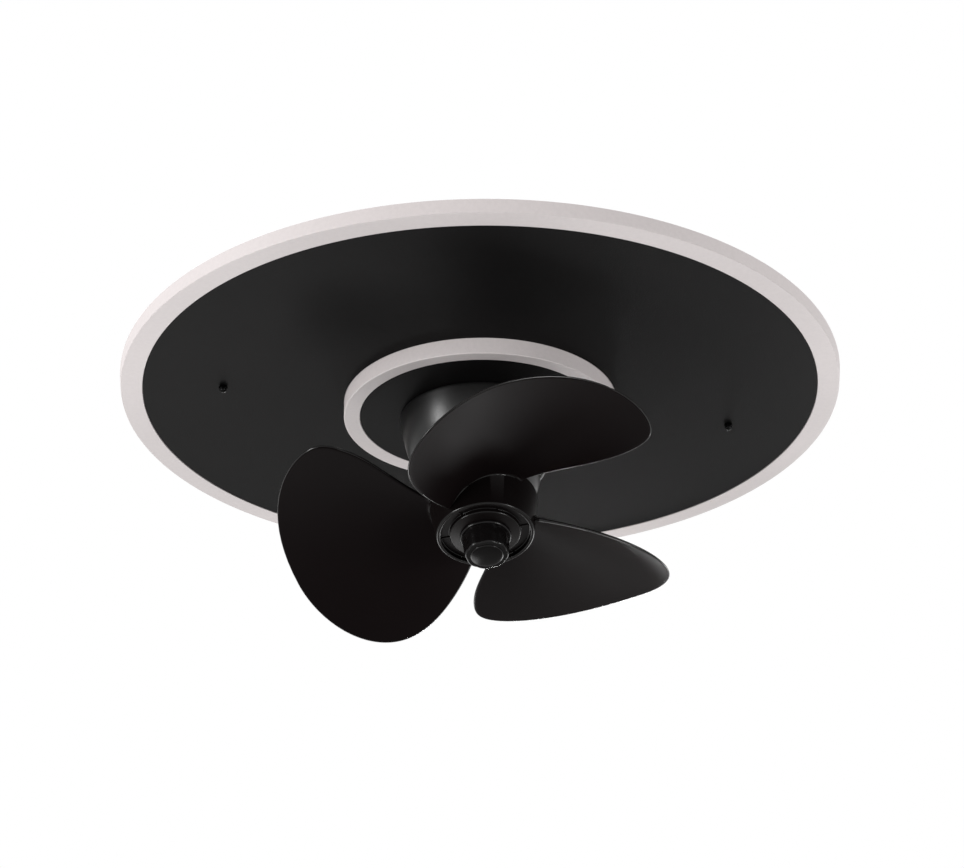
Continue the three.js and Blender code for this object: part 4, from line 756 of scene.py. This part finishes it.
def blade_normal(angle, radius):
    """The unit normal of the blade's middle surface."""
    step_angle, step_radius = 0.2, 0.0002
    across = blade_middle(angle + step_angle, radius) - blade_middle(angle - step_angle, radius)
    out = blade_middle(angle, radius + step_radius) - blade_middle(angle, radius - step_radius)
    return out.cross(across).normalized()


def blade_half_thickness(point, radius, inset):
    """Half the blade's thickness: a round edge all round, and a fillet where it meets the hub."""
    along = share_of(radius, HUB_FRONT_RADIUS, BLADE_TIP)
    half = mix(BLADE_ROOT_THICKNESS, BLADE_TIP_THICKNESS, along) / 2
    edge = BLADE_EDGE_DEPTH * half
    gap = share_of(radius - hub_radius(point.z), 0, BLADE_ROOT_FILLET)
    half += BLADE_ROOT_FILLET * (1 - math.sqrt(1 - (1 - gap) ** 2))
    return half * math.sqrt(1 - (1 - share_of(inset, 0, edge)) ** 2)


def blade_mesh(place):
    """A closed blade: rings that shrink from its outline to its middle, on both faces."""
    scale = 0.09  # metres of arc for a radian, so that both directions of the outline are alike
    outline = [Vector((math.radians(a) * scale, r)) for a, r in blade_outline()]
    middle = Vector((math.radians(BLADE_CENTRE[0]) * scale, BLADE_CENTRE[1]))
    insets = [0.00003, 0.00012, 0.0003, 0.0006, 0.001, 0.0016, 0.0026]
    shares = [0.93, 0.86, 0.78, 0.7, 0.61, 0.52, 0.43, 0.34, 0.25, 0.16, 0.08]
    bm = bmesh.new()

    def point_at(flat, inset, side):
        angle = math.degrees(flat.x / scale)
        point = blade_middle(angle, flat.y)
        half = blade_half_thickness(point, flat.y, inset)
        return bm.verts.new(point + side * half * blade_normal(angle, flat.y))

    def ring(side, inset=None, share=None):
        verts = []
        for flat in outline:
            reach = flat - middle
            rest = share if share is not None else 1 - inset / reach.length
            verts.append(point_at(middle + rest * reach, (1 - rest) * reach.length, side))
        return verts

    rim = [point_at(flat, 0, 1) for flat in outline]
    for side in (1, -1):
        rings = [rim]
        rings += [ring(side, inset=inset) for inset in insets]
        rings += [ring(side, share=share) for share in shares]
        for near, far in zip(rings, rings[1:]):
            for k in range(len(outline)):
                j = (k + 1) % len(outline)
                bm.faces.new((near[k], near[j], far[j], far[k]))
        centre = point_at(middle, 1, side)
        last = rings[-1]
        for k in range(len(outline)):
            bm.faces.new((last[k], last[(k + 1) % len(outline)], centre))
    return closed(bm, place)


def is_rounded(normal):
    """Whether a face of a turned piece belongs to a rounded edge, not to its ends or its sides."""
    return ROUNDED_COSINES[0] < abs(normal.z) < ROUNDED_COSINES[1]


def propeller_part(point, normal):
    """0 for a blade's faces, 1 for the hub, 2 for its rounded edges and 3 for a blade's edge."""
    radius = math.hypot(point.x, point.y)
    if radius < hub_radius(point.z) + HUB_FINISH_REACH:
        return 2 if is_rounded(normal) else 1
    facing, reach = 0.0, LEAD_ROOT_REACH
    for k in range(BLADES):
        place = turned(-360 * k / BLADES)
        local = place @ point
        angle = math.degrees(math.atan2(local.y, local.x)) % 360
        lead, trail = blade_edges(radius)
        if lead - BLADE_ANGLE_GUARD < angle < trail + BLADE_ANGLE_GUARD:
            facing = max(facing, abs((place.to_3x3() @ normal).dot(blade_normal(angle, radius))))
            reach = TRAIL_ROOT_REACH if angle > (lead + trail) / 2 else LEAD_ROOT_REACH
    if facing > BLADE_FACE_COSINE:
        return 0
    return 3 if radius > hub_radius(point.z) + reach else 1


def finish_parts(obj, kinds, *slots):
    """Gives the faces of a piece their own finish: kind 0 keeps the piece's own material."""
    for slot in slots:
        obj.data.materials.append(MATERIALS[slot])
    for face, kind in zip(obj.data.polygons, kinds):
        face.material_index = kind


def hub_mesh():
    profile = fillet([
        (HUB_BACK_RADIUS, HUB_BACK, 0.0006),
        (HUB_FRONT_RADIUS, HUB_RIM_FACE, 0.0013),
        (GROOVE_OUTER, HUB_RIM_FACE, 0.0006),
        (GROOVE_OUTER, GROOVE_FLOOR, 0.0006),
        (GROOVE_INNER, GROOVE_FLOOR, 0.0005),
        (GROOVE_INNER, HUB_FACE, 0.0009),
        (KNOB_FLANGE_RADIUS, HUB_NOSE, 0.0005),
        (HUB_BORE, HUB_NOSE, 0.0002),
        (HUB_BORE, HUB_BOSS_BACK, 0.0002),
        (HUB_BOSS_RADIUS, HUB_BOSS_BACK, 0.0004),
        (HUB_BOSS_RADIUS, HUB_WEB_BACK, 0.001),
        (HUB_FRONT_RADIUS - HUB_WALL, HUB_WEB_BACK, 0.0015),
        (HUB_BACK_RADIUS - HUB_WALL, HUB_BACK, 0.0006),
    ])
    return lathe(profile, ROUND_SEGMENTS)


def add_propeller():
    ribs = []
    for k in range(GROOVE_RIBS):
        reach = (GROOVE_OUTER + GROOVE_INNER) / 2
        place = turned(GROOVE_RIB_ANGLE + 360 * k / GROOVE_RIBS) @ Matrix.Translation((reach, 0, 0))
        length = GROOVE_OUTER - GROOVE_INNER + OVERLAP
        low, high = GROOVE_FLOOR - OVERLAP, GROOVE_FLOOR + GROOVE_RIB_HEIGHT
        ribs.append(bar(length, GROOVE_RIB_WIDTH, low, high, place))
    blades = [blade_mesh(turned(360 * k / BLADES)) for k in range(BLADES)]
    mesh = boolean(hub_mesh(), blades + ribs, "UNION")
    kinds = [propeller_part(face.center, face.normal) for face in mesh.polygons]
    mesh.transform(HEAD)
    obj = piece("propeller_moulding", mesh, "fan", "blade_plastic", "propeller")
    finish_parts(obj, kinds, "hub_plastic", "hub_edge", "blade_edge")


# ---- Lock knob ----

def lobed(angle, radius):
    """Radius of the knob's grip at an angle: round lobes with a shallow groove between each two."""
    pitch = 2 * math.pi / KNOB_LOBES
    offset = (angle - math.radians(KNOB_LOBE_ANGLE) + pitch / 2) % pitch - pitch / 2
    centre = (1 - KNOB_LOBE_SHARE) * radius
    lobe = KNOB_LOBE_SHARE * radius
    return centre * math.cos(offset) + math.sqrt(lobe ** 2 - (centre * math.sin(offset)) ** 2)


def grip_mesh(segments=320):
    """The lobed grip: it narrows evenly to the front, where its edge is rounded."""
    edge = GRIP_EDGE
    back = KNOB_FLANGE_FRONT - GRIP_SINK
    levels = [(back, 0.0)]
    levels += [(mix(back, KNOB_FRONT - edge, k / 8), 0.0) for k in range(1, 9)]
    levels += [(KNOB_FRONT - edge + y, edge - x) for x, y in arc(edge, 0, math.pi / 2, FILLET_STEPS)[1:]]
    levels.append((KNOB_FRONT, edge + EDGE_GUARD))
    bm = bmesh.new()
    rings = []
    for z, inset in levels:
        radius = mix(KNOB_BACK_RADIUS, KNOB_FRONT_RADIUS, share_of(z, back, KNOB_FRONT))
        ring = []
        for k in range(segments):
            angle = 2 * math.pi * k / segments
            reach = lobed(angle, radius) - inset
            ring.append(bm.verts.new((reach * math.cos(angle), reach * math.sin(angle), z)))
        rings.append(ring)
    for near, far in zip(rings, rings[1:]):
        for k in range(segments):
            j = (k + 1) % segments
            bm.faces.new((near[k], near[j], far[j], far[k]))
    bm.faces.new(rings[0])
    bm.faces.new(rings[-1])
    return closed(bm)


def add_knob():
    flange = lathe(fillet([
        (0, KNOB_BACK, 0),
        (KNOB_FLANGE_RADIUS, KNOB_BACK, 0.0003),
        (KNOB_FLANGE_RADIUS, KNOB_FLANGE_FRONT, 0.001),
        (0, KNOB_FLANGE_FRONT, 0),
    ]), ROUND_SEGMENTS)
    cap = arc(KNOB_DOME_RADIUS, 0, math.pi / 2, 20)
    foot = KNOB_FRONT + DOME_STEP
    rise = KNOB_DOME_HEIGHT - DOME_STEP
    dome = lathe([
        (0, KNOB_FRONT - DOME_SINK),
        (KNOB_DOME_RADIUS, KNOB_FRONT - DOME_SINK),
        (KNOB_DOME_RADIUS, foot),
        *[(r, foot + h / KNOB_DOME_RADIUS * rise) for r, h in cap[1:-1]],
        (0, KNOB_FRONT + KNOB_DOME_HEIGHT),
    ], ROUND_SEGMENTS)
    thread = rod(KNOB_THREAD_RADIUS, KNOB_BACK - OVERLAP, KNOB_BACK + KNOB_THREAD_DEPTH)
    mesh = boolean(boolean(grip_mesh(), [flange, dome], "UNION"), [thread], "DIFFERENCE")
    kinds = [int(abs(face.normal.z) < KNOB_FRONT_COSINE) for face in mesh.polygons]
    mesh.transform(HEAD)
    obj = piece("lock_knob_grip", mesh, "fan", "black_gloss", "lock_knob")
    finish_parts(obj, kinds, "hub_edge")


# ---- CAD nodes that stay ----

def dress_cad():
    """Gives every CAD node its slot's material, for those that show and those inside."""
    for row in frame["record"]["subparts"]:
        mesh = frame["nodes"][row["node"]].data
        mesh.materials.clear()
        mesh.materials.append(MATERIALS[row["material_slot"]])


# ---- Room, lamps and camera ----

VIEW_AZIMUTH = math.radians(-10.3)
VIEW_ELEVATION = math.radians(-27.862)
VIEW_DISTANCE = 6.4087 * RIM_RADIUS
VIEW_PAN = math.radians(-0.0363)
VIEW_TILT = math.radians(-0.7227)
VIEW_ROLL = math.radians(0.5721)
LENS = 85.54
SENSOR = 36

VIEW_BACK = Vector((
    math.sin(VIEW_AZIMUTH) * math.cos(VIEW_ELEVATION),
    -math.cos(VIEW_AZIMUTH) * math.cos(VIEW_ELEVATION),
    math.sin(VIEW_ELEVATION),
))
VIEW_RIGHT = Vector((math.cos(VIEW_AZIMUTH), math.sin(VIEW_AZIMUTH), 0))
VIEW_UP = VIEW_BACK.cross(VIEW_RIGHT)


def add_camera():
    camera = bpy.data.objects.new("camera", bpy.data.cameras.new("camera"))
    bpy.context.scene.collection.objects.link(camera)
    camera.data.sensor_width = SENSOR
    camera.data.lens = LENS
    aim = Matrix((VIEW_RIGHT, VIEW_UP, VIEW_BACK)).transposed()
    aim = aim @ Matrix.Rotation(VIEW_PAN, 3, "Y") @ Matrix.Rotation(VIEW_TILT, 3, "X")
    aim = aim @ Matrix.Rotation(-VIEW_ROLL, 3, "Z")
    target = Vector((0, 0, COVER_Z))
    camera.matrix_world = Matrix.Translation(target + VIEW_DISTANCE * VIEW_BACK) @ aim.to_4x4()
    bpy.context.scene.camera = camera


def add_panel(name, azimuth, elevation, power, side):
    """A square soft lamp that faces the fan head. Azimuth 0 is the -Y side and 90 the +X side, in degrees."""
    lamp = bpy.data.lights.new(name, "AREA")
    lamp.shape = "SQUARE"
    lamp.size = side
    lamp.energy = power
    turn, rise = math.radians(azimuth), math.radians(elevation)
    toward = Vector((math.sin(turn) * math.cos(rise), -math.cos(turn) * math.cos(rise), math.sin(rise)))
    obj = bpy.data.objects.new(name, lamp)
    obj.location = PIVOT + PANEL_DISTANCE * toward
    obj.rotation_euler = toward.to_track_quat("Z", "Y").to_euler()
    bpy.context.scene.collection.objects.link(obj)


def add_lamps():
    for name, settings in PANELS.items():
        add_panel(name, *settings)
    sky = bpy.data.lights.new("sky", "SUN")
    sky.energy = SKY_POWER
    sky.angle = SKY_SPREAD
    bpy.context.scene.collection.objects.link(bpy.data.objects.new("sky", sky))


def add_world():
    """A white background, in reflections and through clear pieces too, and an even dim room otherwise."""
    world = bpy.data.worlds.new("room")
    world.use_nodes = True
    nodes = world.node_tree.nodes
    links = world.node_tree.links
    nodes.clear()
    path = nodes.new("ShaderNodeLightPath")
    seen = nodes.new("ShaderNodeBackground")
    seen.inputs["Color"].default_value = (1, 1, 1, 1)
    seen.inputs["Strength"].default_value = 1
    room = nodes.new("ShaderNodeBackground")
    room.inputs["Color"].default_value = (1, 1, 1, 1)
    room.inputs["Strength"].default_value = ROOM_LEVEL
    pick = nodes.new("ShaderNodeMixShader")
    out = nodes.new("ShaderNodeOutputWorld")
    mirrored = nodes.new("ShaderNodeMath")
    mirrored.operation = "MAXIMUM"
    links.new(path.outputs["Is Camera Ray"], mirrored.inputs[0])
    links.new(path.outputs["Is Glossy Ray"], mirrored.inputs[1])
    through = nodes.new("ShaderNodeMath")
    through.operation = "MAXIMUM"
    links.new(mirrored.outputs["Value"], through.inputs[0])
    links.new(path.outputs["Is Transmission Ray"], through.inputs[1])
    links.new(through.outputs["Value"], pick.inputs["Fac"])
    links.new(room.outputs["Background"], pick.inputs[1])
    links.new(seen.outputs["Background"], pick.inputs[2])
    links.new(pick.outputs["Shader"], out.inputs["Surface"])
    bpy.context.scene.world = world


def add_floor():
    """The room's pale floor, well below the light."""
    mesh = bpy.data.meshes.new("floor")
    signs = [(-1, -1), (1, -1), (1, 1), (-1, 1)]
    corners = [(x * FLOOR_HALF, y * FLOOR_HALF, -ROOM_HEIGHT) for x, y in signs]
    mesh.from_pydata(corners, [], [(0, 1, 2, 3)])
    floor = bpy.data.objects.new("floor", mesh)
    bpy.context.scene.collection.objects.link(floor)
    mesh.materials.append(textured("floor", (0.82, 0.82, 0.81), 0.7, patch=2, spread=0.01))
    floor.visible_diffuse = False  # it is seen and reflected, and the world alone fills in the undersides


dress_cad()
add_bracket()
add_pan()
add_diffusers()
add_covers()
add_cap_nuts()
add_drum()
add_ball()
add_propeller()
add_knob()
add_floor()
add_world()
add_lamps()
add_camera()
bpy.context.scene.view_settings.view_transform = "Standard"
